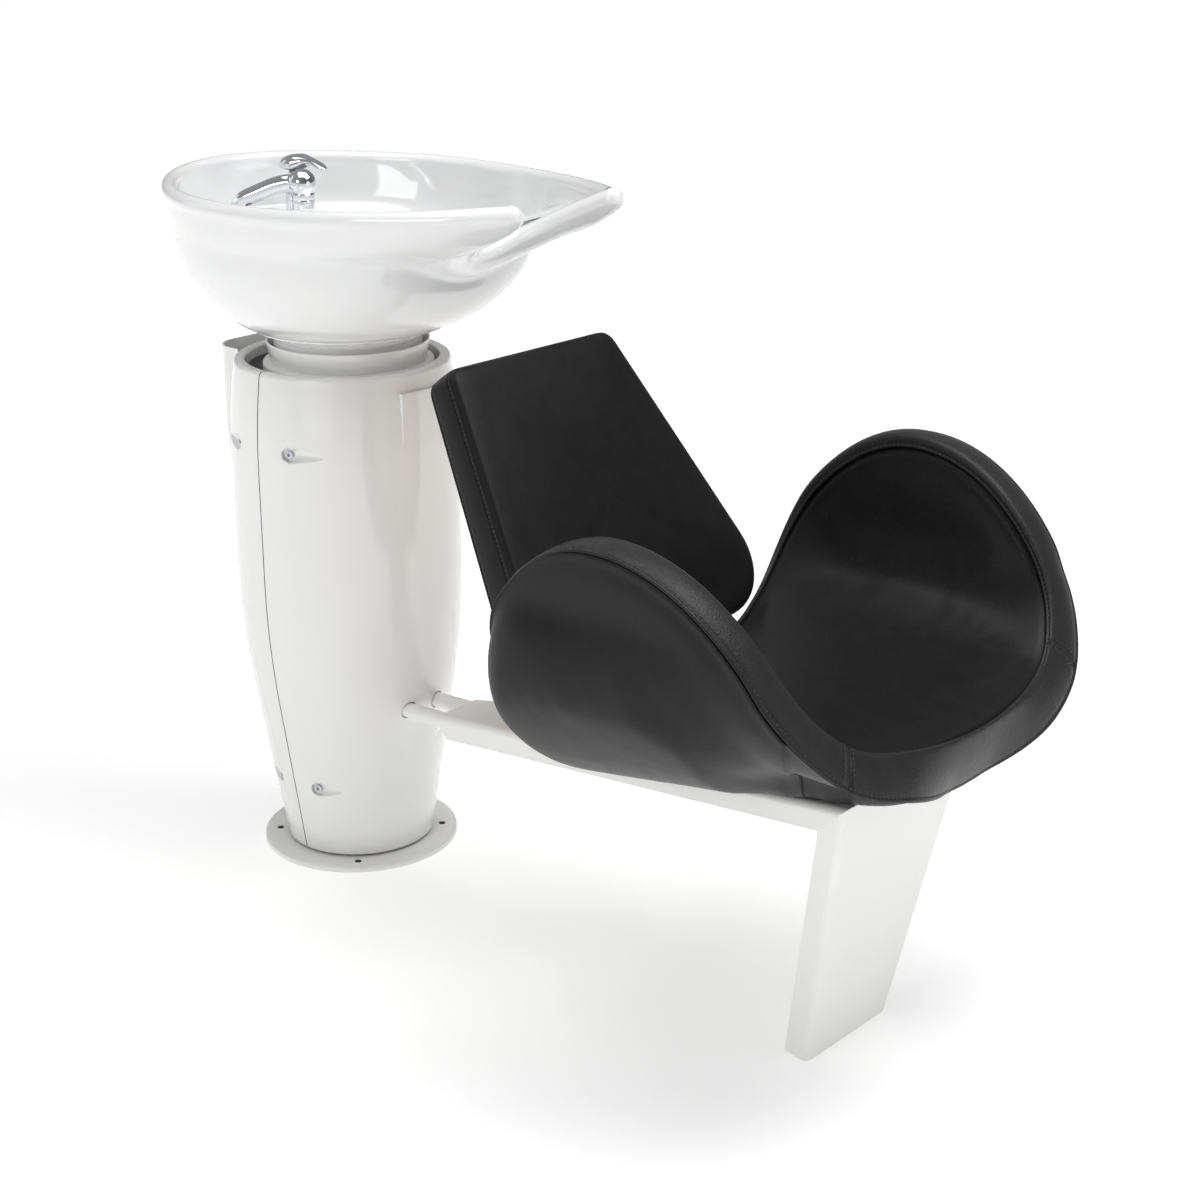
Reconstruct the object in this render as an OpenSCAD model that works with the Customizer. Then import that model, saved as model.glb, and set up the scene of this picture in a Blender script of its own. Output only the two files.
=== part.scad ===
// Backwash unit: a tilting ceramic basin on a cased steel column, and an
// upholstered chair on a folded sheet beam that plugs into the column.
// Millimetres. The origin is the centre of the floor bolt circle, on the
// floor. +X runs from the column to the front of the seat, +Z is up.

/* [Base] */
// Diameter of the floor flange
base_d = 288; // [280:1:330]
// Thickness of the floor flange
base_t = 8; // [6:0.5:12]
// Rounding of its upper edge
base_edge = 3; // [1:0.5:4]
// Diameter of the circle of floor bolts
floor_pcd = 243; // [238:1:250]
// Diameter of each floor bolt hole
floor_hole_d = 11; // [8:0.5:14]
// Number of floor bolt holes
floor_holes = 4; // [4:4:8]
// Opening in the flange for the pipes
pipe_hole_d = 90; // [60:2:100]
// Outside diameter of the post
post_d = 114; // [100:1:120]
// Wall of the post
post_wall = 3.5; // [2:0.5:5]

/* [Casing] */
// Height of the casing's rolled top edge
casing_top = 737.5; // [700:2.5:800]
// Gap between the casing and the flange
casing_lift = 4; // [2:0.5:8]
// Largest radius of the casing
casing_r = 161.6; // [158:0.2:170]
// Half angle of the tapered lower part
casing_taper = 9; // [6:0.5:10]
// Height where the straight taper ends
taper_z = 250; // [220:5:280]
// Height where the casing becomes upright
belly_z = 445; // [400:5:480]
// Height where it starts to draw in again
shoulder_z = 600; // [590:2:620]
// Radius of the drawn-in upper part, seen from the side
shoulder_r = 890; // [800:10:1200]
// Wall of the casing
casing_wall = 4; // [3:0.5:5]
// Radius of the opening at the top
mouth_r = 135.4; // [130:0.2:137]
// Rounding of the rolled edge
roll_r = 7; // [4:0.5:8]
// Gap along the joint of the two shells
seam_gap = 1; // [0.5:0.1:2]
// Angle of the fixing screws from the front
screw_angle = 71.2; // [65:0.2:75]
// Height of the upper fixing screws
screw_z_top = 631; // [600:1:650]
// Height of the lower fixing screws
screw_z_low = 119.5; // [100:0.5:150]
// Depth of the recess at each screw
dimple_depth = 7; // [4:0.5:8]
// Angle that each recess runs round the casing
dimple_span = 22; // [15:1:26]
// Width of the bare raised plate on the front shell
plate_w = 72; // [40:1:80]
// Height of the bare raised plate
plate_h = 70; // [30:1:76]
// How far the plate stands out
plate_out = 3; // [1.5:0.5:4]
// Height of the middle of the plate
plate_z = 676; // [640:1:690]

/* [Hose duct] */
// Half width of the duct
duct_w = 83; // [70:1:95]
// How far back the duct reaches from the axis
duct_back = 187; // [180:1:200]
// Height where the duct runs out into the casing
duct_low = 560; // [480:5:600]
// Wall of the duct
duct_wall = 3; // [2:0.5:4]

/* [Basin] */
// Distance from the column axis to the basin's pivot axis
basin_x = 13; // [8:1:16]
// Radius of the pedestal head
head_r = 119.5; // [116:0.5:122]
// Thickness of the pedestal head
head_t = 12; // [8:1:16]
// Height of the pedestal head's top
head_z = 734; // [720:1:740]
// Height of the tilt pivot above the head
pivot_up = 18; // [16:0.5:22]
// Underside of the ceramic foot above the head
foot_up = 49; // [48:0.5:56]
// Radius of the ceramic foot
foot_r = 133; // [128:1:140]
// Half length of the bowl from its widest place to the back
bowl_back = 280; // [270:1:295]
// Half width of the rim line
bowl_w = 240; // [225:1:255]
// Place of the widest section, from the column axis
bowl_x = 43; // [30:1:60]
// Reach of the horns from the widest section
horn_reach = 377; // [350:1:390]
// Half width across the tips of the horns
horn_w = 93; // [86:1:105]
// Height of the rim at its lowest, beside the bowl
rim_z = 984; // [960:1:1010]
// Extra height of the rim at the horns
horn_rise = 19; // [5:1:30]
// Extra height of the rim at the back
back_rise = 6; // [0:1:15]
// Radius of the rolled rim
rim_r = 12; // [9:0.5:14]
// Radius of the rim at the tips of the horns
horn_r = 16; // [12:0.5:18]
// Radius of the roll in the neck notch
notch_r = 21; // [16:0.5:24]
// Reach of the middle of the notch from the widest section
notch_reach = 257; // [235:1:275]
// Height of the middle of the notch roll
notch_z = 899; // [885:1:915]
// Height of the crease where the body meets the flared rim
crease_z = 918; // [905:1:930]
// Height of the inside of the bowl at the waste
bowl_floor = 824; // [818:1:835]
// Height of the ledge that carries the taps
ledge_z = 908; // [898:1:915]
// Wall of the ceramic
ceramic_t = 11; // [9:0.5:13]
// Diameter of the waste outlet
waste_d = 52; // [44:1:56]

/* [Taps] */
// Distance of the taps behind the column axis
tap_x = 144; // [138:1:152]
// Distance of each tap from the middle
tap_y = 55; // [48:1:62]
// Diameter of the mixer's upper body
mixer_d = 48; // [42:1:52]
// Diameter of the mixer's neck
mixer_neck_d = 33; // [28:1:36]
// Diameter of the tap holes in the ledge
tap_hole_d = 34; // [30:1:36]

/* [Seat frame] */
// Diameter of the two frame tubes
tube_d = 22; // [18:1:26]
// Distance of each tube from the middle
tube_y = 27.5; // [22:0.5:34]
// Height of the tubes where they enter the casing
tube_z = 244; // [235:1:255]
// Rise of the tubes towards the chair
tube_rise = 3.5; // [0:0.5:6]
// Clearance round each tube in the casing
tube_gap = 1.5; // [1:0.5:4]
// Thickness of the frame sheet
sheet_t = 4; // [3:0.5:6]
// Start of the beam, from the column axis
beam_x = 215; // [195:1:230]
// Height of the beam's start
beam_z = 260.7; // [255:0.1:270]
// Half width of the beam's start
beam_w0 = 43; // [40:1:50]
// Corner of beam and leg, from the column axis
knee_x = 969.3; // [930:0.1:1000]
// Height of that corner
knee_z = 379.1; // [360:0.1:400]
// Half width at the corner
knee_w = 129.1; // [115:0.1:145]
// Foot of the leg, from the column axis
toe_x = 897; // [860:1:930]
// Half width of the leg at the floor
toe_w = 87.2; // [75:0.1:110]
// Height of the folded flanges
flange_h = 33; // [28:1:36]
// Outer radius of the folds
fold_r = 9; // [6:0.5:12]

/* [Seat] */
// Height of the pan's surface
pan_z = 467; // [455:1:480]
// Middle of the seat's outline, from the column axis
seat_x = 770; // [750:1:790]
// Reach of the outline to the front
seat_front = 298; // [280:1:310]
// Reach of the outline to the back
seat_back = 255; // [240:1:265]
// Length of leather from the middle of the pan to the top of an arm
seat_arm = 437; // [420:1:455]
// How far the back edge is cut away in the middle
back_cut = 140; // [110:1:150]
// Half width of the nearly flat pan
pan_w = 160; // [150:1:170]
// Bend radius of the nearly flat pan
pan_r = 865; // [700:5:1200]
// Bend radius between pan and arms
arm_r = 133; // [125:1:142]
// Angle of the arms from level
arm_angle = 81; // [76:0.5:84]
// Thickness of the seat at its edge
edge_t = 50; // [46:1:56]
// Extra depth of the edge at the middle of the front
lip_t = 28; // [20:1:32]
// Thickness of the inner pad
pad_t = 24; // [20:1:26]
// Thickness of the moulded board
board_t = 12; // [9:1:14]

/* [Backrest] */
// Upper edge of the backrest's front face, from the column axis
back_x = 364.3; // [350:0.1:380]
// Height of that edge
back_z = 802.7; // [780:0.1:820]
// Lean of the backrest from upright
back_lean = 35.07; // [28:0.01:38]
// Length of the backrest
back_len = 418; // [390:1:430]
// Half width at the top
back_w_top = 150.5; // [140:0.5:165]
// Half width at the bottom, before the corners
back_w_low = 234; // [215:1:245]
// Thickness at the top
back_t_top = 54; // [46:1:60]
// Thickness at the bottom
back_t_low = 65; // [56:1:70]
// Radius of the upper corners
back_r_top = 22; // [12:1:40]
// Radius of the lower corners
back_r_low = 82; // [60:1:90]

/* [Hidden] */
small = 0.3;            // clearance of soft and moving neighbours
fine = 72;

pivot_z = head_z + pivot_up;
foot_z = head_z + foot_up;

// Radius of the casing at a height
blend_r = (belly_z - taper_z) / sin(casing_taper);
function casing_at(z) =
  z < taper_z ? casing_r - blend_r * (1 - cos(casing_taper))
      - (taper_z - z) * tan(casing_taper)
  : z < belly_z ? casing_r - blend_r
      + sqrt(pow(blend_r, 2) - pow(belly_z - z, 2))
  : z < shoulder_z ? casing_r
  : casing_r - shoulder_r + sqrt(pow(shoulder_r, 2) - pow(z - shoulder_z, 2));

casing_low = base_t + casing_lift;
casing_steps = 8;
function steps(a, b, n) = [for (i = [0 : n]) a + (b - a) * i / n];
casing_zs = concat([casing_low], steps(taper_z, belly_z, casing_steps),
  steps(shoulder_z, casing_top - roll_r, casing_steps));
top_r = casing_at(casing_top - roll_r);

// Outline of a closed body of the casing's outer shape, moved in by d
function casing_side(d) = [for (z = casing_zs) [casing_at(z) - d, z]];

// Smooth step from 0 to 1
function ease(t) = let (u = min(max(t, 0), 1)) u * u * (3 - 2 * u);
function mix(a, b, t) = a + (b - a) * t;

// A closed skin over a stack of rings that ends in a point at each end. From
// ring turn on its quads are split the other way, so that two skins over the
// same rings fit each other.
module capped(rings, first, last, turn = 1000) {
  n = len(rings[0]);
  m = len(rings);
  pts = concat([for (r = rings) for (p = r) p], [first, last]);
  side = [for (k = [0 : m - 2]) for (i = [0 : n - 1])
    let (j = (i + 1) % n, a = k * n + i, b = k * n + j, c = a + n, d = b + n)
    each (k < turn ? [[a, b, d], [a, d, c]] : [[a, b, c], [b, d, c]])];
  ends = [for (i = [0 : n - 1]) let (j = (i + 1) % n)
    each [[m * n, j, i], [m * n + 1, (m - 1) * n + i, (m - 1) * n + j]]];
  polyhedron(pts, concat(side, ends), convexity = 6);
}

// A closed skin over rings that come round to the first again. Its quads are
// split the other way from ring turn on, as above.
module looped(rings, turn = 1000) {
  n = len(rings[0]);
  m = len(rings);
  pts = [for (r = rings) for (p = r) p];
  side = [for (k = [0 : m - 1]) for (i = [0 : n - 1])
    let (j = (i + 1) % n, l = (k + 1) % m,
      a = k * n + i, b = k * n + j, c = l * n + i, d = l * n + j)
    each (k < turn ? [[a, b, d], [a, d, c]] : [[a, b, c], [b, d, c]])];
  polyhedron(pts, side, convexity = 8);
}

// Puts children on both sides of the middle plane
module both_sides(y) {
  for (s = [-1, 1]) translate([0, s * y, 0]) children();
}

// Hexagon nut with a bore, standing on z = 0
module nut(across, height, bore) {
  difference() {
    cylinder(h = height, d = across / cos(30), $fn = 6);
    translate([0, 0, -1]) cylinder(h = height + 2, d = bore, $fn = fine);
  }
}

// Socket screw: head above z = 0, shank below it
module socket_screw(d, length, head_d, head_h) {
  difference() {
    union() {
      cylinder(h = head_h, d = head_d, $fn = fine);
      translate([0, 0, -length]) cylinder(h = length + 0.01, d = d, $fn = fine);
    }
    translate([0, 0, head_h * 0.4]) cylinder(h = head_h, d = d * 0.9, $fn = 6);
  }
}

// Floor flange and post

module base_flange() {
  color("white") difference() {
    rotate_extrude($fn = 144) difference() {
      square([base_d / 2, base_t]);
      translate([base_d / 2 - base_edge, base_t - base_edge]) difference() {
        square(base_edge + 1);
        circle(r = base_edge, $fn = 48);
      }
    }
    translate([0, 0, -1]) cylinder(h = base_t + 2, d = pipe_hole_d, $fn = fine);
    for (i = [0 : floor_holes - 1]) rotate(45 + i * 360 / floor_holes)
      translate([floor_pcd / 2, 0, -1])
        cylinder(h = base_t + 2, d = floor_hole_d, $fn = fine);
  }
}

module centre_post() {
  color("silver") difference() {
    translate([0, 0, base_t])
      cylinder(h = head_z - head_t - base_t, d = post_d, $fn = fine);
    translate([0, 0, base_t - 1])
      cylinder(h = head_z, d = post_d - 2 * post_wall, $fn = fine);
  }
}

head_edge = 4;
head_hole_d = 74;
fork_bolt_r = 84;
module pedestal_head() {
  color("white") translate([basin_x, 0, head_z - head_t]) difference() {
    rotate_extrude($fn = 144) difference() {
      square([head_r, head_t]);
      translate([head_r - head_edge, head_t - head_edge]) difference() {
        square(head_edge + 1);
        circle(r = head_edge, $fn = 48);
      }
    }
    translate([0, 0, -1]) cylinder(h = head_t + 2, d = head_hole_d, $fn = fine);
    for (a = [45 : 90 : 315]) rotate(a) translate([fork_bolt_r, 0, -1])
      cylinder(h = head_t + 2, d = fork_bolt_d, $fn = fine);
  }
}

// Sockets for the frame tubes

socket_wall = 4;
socket_fit = 0.2;
socket_x0 = 40;
socket_x1 = 118;
socket_h = 36;
tube_in = 66;
function tube_at(x) = tube_z + (x - casing_at(tube_z)) * tan(tube_rise);

// Places children along a tube's axis, x measured from the column axis
module on_tube(x) {
  translate([x, 0, tube_at(x)]) rotate([0, 90 - tube_rise, 0]) children();
}

socket_bolt_x = 98;
socket_bolt_d = 8;
module tube_sockets() {
  len_s = (socket_x1 - socket_x0) / cos(tube_rise);
  color("silver") difference() {
    union() {
      both_sides(tube_y) on_tube(socket_x0)
        cylinder(h = len_s, d = tube_d + 2 * socket_wall, $fn = fine);
      translate([socket_x0, -tube_y, tube_at(post_d / 2) - socket_wall / 2])
        cube([post_d / 2 - socket_x0 + 20, 2 * tube_y, socket_wall]);
    }
    both_sides(tube_y) on_tube(socket_x0 - 1)
      cylinder(h = len_s + 4, d = tube_d + 2 * socket_fit, $fn = fine);
    translate([0, 0, tube_z - 100]) cylinder(h = 200, d = post_d, $fn = fine);
    both_sides(tube_y) translate([socket_bolt_x, 0, tube_at(socket_bolt_x)])
      cylinder(h = tube_d, d = socket_bolt_d + small, $fn = fine);
  }
}

module socket_screws() {
  color("dimgray") both_sides(tube_y)
    translate([socket_bolt_x, 0, tube_at(socket_bolt_x) + tube_d / 2 + 0.6])
      difference() {
        cylinder(h = 8, d = socket_bolt_d, $fn = fine);
        translate([0, 0, 4]) cylinder(h = 5, d = 4.5, $fn = 6);
      }
}

// Casing brackets, screws and shells

bracket_t = 4;
bracket_w = 20;
screw_d = 6;
screw_hole = 6.6;
screw_nut_w = 10;
screw_nut_h = 5;
function seat_r(z) = casing_at(z) - dimple_depth - casing_wall;
screw_angles = [screw_angle, 180 - screw_angle, 180 + screw_angle,
  360 - screw_angle];
// which way round the casing the recess at each screw runs out
screw_ways = [-1, 1, -1, 1];

module spider(z) {
  reach = seat_r(z) - small;
  color("silver") difference() {
    union() {
      translate([0, 0, z - bracket_w / 2])
        cylinder(h = bracket_t, d = post_d + 24, $fn = fine);
      for (a = screw_angles) rotate(a) {
        translate([post_d / 2 - 2, -bracket_w / 2, z - bracket_w / 2])
          cube([reach - post_d / 2 + 2, bracket_w, bracket_t]);
        translate([reach - bracket_t, -bracket_w / 2, z - bracket_w / 2])
          cube([bracket_t, bracket_w, bracket_w]);
      }
    }
    translate([0, 0, z - 50]) cylinder(h = 100, d = post_d, $fn = fine);
    for (a = screw_angles) rotate(a)
      translate([reach - bracket_t - 1, 0, z]) rotate([0, 90, 0])
        cylinder(h = bracket_t + 2, d = screw_hole, $fn = fine);
    // the feet are hollowed where the recesses bulge inwards
    for (i = [0 : 3]) dimple(z, screw_angles[i], screw_ways[i], casing_wall + small);
  }
}

module lower_spider() { spider(screw_z_low); }
module upper_spider() { spider(screw_z_top); }

// Places children at each screw, z pointing out of the casing
module at_screws(angles) {
  for (z = [screw_z_low, screw_z_top], a = angles)
    rotate(a) translate([seat_r(z) + casing_wall, 0, z])
      rotate([0, 90, 0]) children();
}

module casing_screws() {
  color("silver") at_screws(screw_angles) socket_screw(screw_d, 18, 11, 4);
}

module casing_nuts() {
  color("silver") at_screws(screw_angles)
    translate([0, 0, -casing_wall - small - bracket_t - screw_nut_h])
      nut(screw_nut_w, screw_nut_h, screw_d + 0.1);
}

// Recess that starts deep at a screw and runs out round the casing.
// grow makes the larger form that backs it inside the shell.
module dimple(z, a, way, grow) {
  r = casing_at(z);
  r_wide = 13;
  r_tip = 2;
  chord = 2 * r * sin(dimple_span / 2);
  rotate(a) {
    translate([r, 0, z]) rotate([-90 * way, 0, way * dimple_span / 2])
      translate([r_wide - dimple_depth - 1, 0, 0])
        cylinder(h = chord, r1 = r_wide + grow, r2 = r_tip + grow, $fn = 48);
    translate([r - dimple_depth - grow, 0, z]) rotate([0, 90, 0])
      cylinder(h = 30, r = r_wide - 3 + grow, $fn = 48);
  }
}

// One half of the casing, side = 1 for the front and -1 for the back
module casing_half(side) {
  angles = side > 0 ? [screw_angle, -screw_angle]
    : [180 - screw_angle, 180 + screw_angle];
  lip = 4;
  lip_z = casing_top - 16;
  difference() {
    union() {
      intersection() {
        rotate_extrude($fn = 144) polygon(concat(casing_side(0),
          [for (t = [0 : 15 : 90])
            [top_r - roll_r + roll_r * cos(t), casing_top - roll_r + roll_r * sin(t)]],
          [for (t = [90 : 30 : 180])
            [mouth_r + lip + lip * cos(t), casing_top - lip + lip * sin(t)]],
          [[mouth_r, lip_z], [mouth_r + lip, lip_z],
            [mouth_r + lip, casing_top - roll_r],
            [top_r - casing_wall, casing_top - roll_r]],
          [for (i = [len(casing_zs) - 2 : -1 : 0])
            [casing_at(casing_zs[i]) - casing_wall, casing_zs[i]]]));
        half_space(side);
      }
      intersection() {
        rotate_extrude($fn = 144) polygon(concat([[0, casing_low]],
          casing_side(0), [[0, casing_top - roll_r]]));
        union() for (z = [screw_z_low, screw_z_top], i = [0, 1])
          dimple(z, angles[i], (i == 0 ? -1 : 1) * side, casing_wall);
        half_space(side);
      }
    }
    for (z = [screw_z_low, screw_z_top], i = [0, 1]) {
      dimple(z, angles[i], (i == 0 ? -1 : 1) * side, 0);
      rotate(angles[i]) translate([seat_r(z) - 5, 0, z]) rotate([0, 90, 0])
        cylinder(h = 20, d = screw_hole, $fn = fine);
    }
    if (side > 0) both_sides(tube_y) on_tube(100)
      cylinder(h = 80, d = tube_d + 2 * tube_gap, $fn = fine);
  }
}

module half_space(side) {
  big = 2 * casing_r;
  translate([side > 0 ? seam_gap / 2 : -big - seam_gap / 2, -big, 0])
    cube([big, 2 * big, casing_top + 10]);
}

module front_casing() {
  plate_r = casing_at(plate_z);
  color("white") union() {
    casing_half(1);
    difference() {
      intersection() {
        translate([0, -plate_w / 2, plate_z - plate_h / 2])
          cube([2 * casing_r, plate_w, plate_h]);
        translate([0, 0, plate_z - plate_h])
          cylinder(h = 2 * plate_h, r = plate_r + plate_out, $fn = 144);
      }
      translate([0, 0, plate_z - plate_h])
        cylinder(h = 2 * plate_h, r = plate_r - casing_wall / 2, $fn = 144);
    }
  }
}

module rear_casing() {
  color("white") casing_half(-1);
}

// Hose duct: an open-topped cover on the back of the rear shell

duct_corner = 40;
duct_bend_z = 700;
duct_front = 60;

// The duct's outside, moved in by d, sloping in below the bend
module duct_form(d, z0, z1) {
  slope = atan((duct_back - casing_r + 8) / (duct_bend_z - duct_low));
  difference() {
    translate([0, 0, z0]) linear_extrude(z1 - z0) intersection() {
      union() {
        for (s = [-1, 1]) translate([-duct_back + duct_corner, s * (duct_w - duct_corner)])
          circle(r = duct_corner - d, $fn = 96);
        translate([-duct_back + d, duct_corner - duct_w])
          square([duct_corner, 2 * (duct_w - duct_corner)]);
        translate([duct_corner - duct_back, d - duct_w])
          square([duct_back, 2 * (duct_w - d)]);
      }
      translate([-duct_back - 1, -duct_w - 1])
        square([duct_back - duct_front, 2 * duct_w + 2]);
    }
    translate([d - duct_back, -duct_w - 5, duct_bend_z]) rotate([0, -slope, 0])
      translate([-100, 0, -300]) cube([100, 2 * duct_w + 10, 300]);
  }
}

module hose_duct() {
  color("white") difference() {
    duct_form(0, duct_low, casing_top);
    duct_form(duct_wall, duct_low - 1, casing_top + 1);
    rotate_extrude($fn = 144) polygon(concat([[0, casing_low]],
      casing_side(0), [[top_r, casing_top + 2], [0, casing_top + 2]]));
  }
}

// Collar and tilt mechanism. The basin turns on two pivot bolts whose
// shared axis lies along Y inside the collar.

collar_r0 = 108.5;
collar_r1 = 114.3;
collar_h = 29;
collar_wall = 3;
module collar_cup() {
  lip = collar_wall / 2;
  color("white") translate([basin_x, 0, head_z]) rotate_extrude($fn = 144) union() {
    polygon([[collar_r0 - 12, 0], [collar_r0, 0], [collar_r1, collar_h - lip],
      [collar_r1 - collar_wall, collar_h - lip],
      [collar_r0 - collar_wall, 3], [collar_r0 - 12, 3]]);
    translate([collar_r1 - lip, collar_h - lip]) circle(r = lip, $fn = 32);
  }
}

fork_t = 5;
fork_r = 93;
fork_bolt_d = 8.4;
fork_ear_y = 78;
cradle_ear_y = 70;
ear_half = 18;
pivot_d = 10;
cradle_t = 5;
cradle_r = 108;
cradle_bolt_r = 102;
cradle_bolt_d = 6;

// Upright ear with a round end on the pivot axis
module ear(y, z0, z1) {
  difference() {
    union() {
      translate([-ear_half, y - fork_t / 2, min(z0, z1)])
        cube([2 * ear_half, fork_t, abs(z1 - z0)]);
      translate([0, y - fork_t / 2, pivot_z]) rotate([-90, 0, 0])
        cylinder(h = fork_t, d = 24, $fn = fine);
    }
    translate([0, y - fork_t, pivot_z]) rotate([-90, 0, 0])
      cylinder(h = 2 * fork_t, d = pivot_d + 0.1, $fn = fine);
  }
}

module tilt_fork() {
  color("silver") translate([basin_x, 0, 0]) union() {
    translate([0, 0, head_z]) difference() {
      cylinder(h = fork_t, r = fork_r, $fn = fine);
      translate([0, 0, -1]) cylinder(h = fork_t + 2, d = head_hole_d, $fn = fine);
      for (a = [45 : 90 : 315]) rotate(a) translate([fork_bolt_r, 0, -1])
        cylinder(h = fork_t + 2, d = fork_bolt_d, $fn = fine);
    }
    for (s = [-1, 1]) ear(s * fork_ear_y, head_z + fork_t, pivot_z);
  }
}

module fork_screws() {
  color("silver") translate([basin_x, 0, head_z + fork_t])
    for (a = [45 : 90 : 315]) rotate(a) translate([fork_bolt_r, 0, 0])
      socket_screw(8, fork_t + head_t, 13, 4.5);
}

module basin_cradle() {
  color("silver") translate([basin_x, 0, 0]) union() {
    translate([0, 0, foot_z - cradle_t]) difference() {
      cylinder(h = cradle_t, r = cradle_r, $fn = fine);
      translate([0, 0, -1]) cylinder(h = cradle_t + 2, d = 96, $fn = fine);
      for (a = [45 : 90 : 315]) rotate(a) translate([cradle_bolt_r, 0, -1])
        cylinder(h = cradle_t + 2, d = cradle_bolt_d + 0.4, $fn = fine);
    }
    for (s = [-1, 1]) ear(s * cradle_ear_y, foot_z - cradle_t, pivot_z);
  }
}

module cradle_bolts() {
  color("silver") translate([basin_x, 0, foot_z - cradle_t])
    for (a = [45 : 90 : 315]) rotate(a) translate([cradle_bolt_r, 0, 0])
      rotate([180, 0, 0]) socket_screw(cradle_bolt_d, 18, 10, 3.5);
}

pivot_out = fork_ear_y + fork_t / 2;
pivot_in = cradle_ear_y - fork_t / 2;
module pivot_bolts() {
  color("silver") translate([basin_x, 0, pivot_z]) for (s = [-1, 1])
    rotate([-90 * s, 0, 0]) translate([0, 0, pivot_out]) union() {
      cylinder(h = 6, d = 17 / cos(30), $fn = 6);
      translate([0, 0, pivot_in - pivot_out - 9])
        cylinder(h = pivot_out - pivot_in + 9, d = pivot_d, $fn = fine);
    }
}

module pivot_nuts() {
  color("silver") translate([basin_x, 0, pivot_z]) for (s = [-1, 1])
    rotate([-90 * s, 0, 0]) translate([0, 0, pivot_in - 8])
      nut(17, 8, pivot_d + 0.1);
}

module friction_washers() {
  mid = (fork_ear_y - fork_t / 2 + cradle_ear_y + fork_t / 2) / 2;
  gap = fork_ear_y - cradle_ear_y - fork_t;
  color("khaki") translate([basin_x, 0, pivot_z]) for (s = [-1, 1])
    rotate([-90 * s, 0, 0]) translate([0, 0, mid - gap / 2]) difference() {
      cylinder(h = gap, d = 22, $fn = fine);
      translate([0, 0, -1]) cylinder(h = gap + 2, d = pivot_d + 0.1, $fn = fine);
    }
}

// Moulded skirt below the ceramic foot: a ball-shaped neck centred on the
// pivot, so that it keeps its distance to the collar as the basin tilts
neck_ball_r = 104;
neck_r = 108;
neck_up = 21;
skirt_wall = 3;
module neck_skirt() {
  z_neck = neck_up;
  z_foot = foot_z - pivot_z;
  ball = [for (a = [0 : 2 : 8]) neck_ball_r * [cos(a), sin(a)]];
  ball_in = [for (a = [8 : -2 : 0]) (neck_ball_r - skirt_wall) * [cos(a), sin(a)]];
  color("white") translate([basin_x, 0, pivot_z]) rotate_extrude($fn = 144)
    polygon(concat(ball, [[neck_r - 2, z_neck - 3], [neck_r, z_neck],
      [foot_r - 3, z_foot - 1.5], [foot_r - 3, z_foot], [cradle_r + small, z_foot],
      [cradle_r + small, z_neck + 2], [neck_r - skirt_wall, z_neck]], ball_in));
}

// Ceramic basin. Its rim is one closed line: half an ellipse behind, two
// drawn-in sides, the tips of the horns and the neck notch between them.
// Every section of the wall starts at a point of that line.

back_slack = 0.025;
back_n = 12;
side_n = 12;
tip_n = 5;
notch_n = 10;
half_n = back_n + side_n + tip_n + notch_n;
notch_x = bowl_x + notch_reach;
side_len = horn_reach / sqrt(1 - horn_w / bowl_w);
horn_z = rim_z + horn_rise - horn_r;

function top_z(x) = x > 72 ? rim_z + horn_rise * pow((x - 72) / (bowl_x + horn_reach - 72), 2)
  : rim_z + back_rise * pow((72 - x) / (72 - bowl_x + bowl_back), 2);
function notch_line(u) = let (p0 = [bowl_x + horn_reach, horn_w, horn_z],
    p1 = [notch_x + 52, 0.87 * horn_w, mix(notch_z, horn_z, 0.52)],
    p2 = [notch_x, 0.6 * horn_w, notch_z + 3], p3 = [notch_x, 0, notch_z])
  pow(1 - u, 3) * p0 + 3 * u * pow(1 - u, 2) * p1 + 3 * u * u * (1 - u) * p2 + pow(u, 3) * p3;
function notch_turn(u) = let (a = notch_line(max(u - 0.01, 0)), b = notch_line(min(u + 0.01, 1)))
  u > 0.999 ? 0 : atan2(b[0] - a[0], a[1] - b[1]);
side_end_turn = atan2(1, 2 * bowl_w * horn_reach / pow(side_len, 2));

// One station of the rim, i from 0 at the back to half_n in the notch:
// middle of the roll, direction outwards, radius, angle round the foot
function station(i) =
  i <= back_n ? let (t = 180 - 90 * i / back_n, k = 1 - back_slack * pow(sin(2 * t), 2),
      x = bowl_x + k * bowl_back * cos(t))
    [[x, k * bowl_w * sin(t), top_z(x) - rim_r], atan2(bowl_back * sin(t), bowl_w * cos(t)),
      rim_r, t]
  : i <= back_n + side_n ? let (u = (i - back_n) / side_n, v = u * horn_reach,
      x = bowl_x + v, r = mix(rim_r, horn_r, ease(2 * u - 1)))
    [[x, bowl_w * (1 - pow(v / side_len, 2)), top_z(x) - r],
      atan2(1, 2 * bowl_w * v / pow(side_len, 2)), r, 90 - 58 * u]
  : i < back_n + side_n + tip_n ? let (u = (i - back_n - side_n) / tip_n)
    [[bowl_x + horn_reach + 0.02 * u, horn_w - 0.5 * u, horn_z],
      mix(side_end_turn, notch_turn(0), u), horn_r, 32 - 4 * u]
  : let (u = (i - back_n - side_n - tip_n) / notch_n, p = notch_line(u))
    [u == 0 ? p - [0, 0.6, 0] : p, notch_turn(u), mix(horn_r, notch_r, ease(1.4 * u)), 28 * (1 - u)];

// The crease below the rim and the inside of the bowl use the same angle
crease_back = 270;
crease_front = 257;
crease_w = 235;
function crease(a) = let (g = ease(1 - a / 40))
  [bowl_x + (a > 90 ? crease_back : crease_front) * cos(a) - 36 * g, crease_w * sin(a),
    crease_z - (crease_z - notch_z + notch_r + 8) * g];
function around(r, a, z) = [basin_x + r * cos(a), r * sin(a), z];

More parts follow.
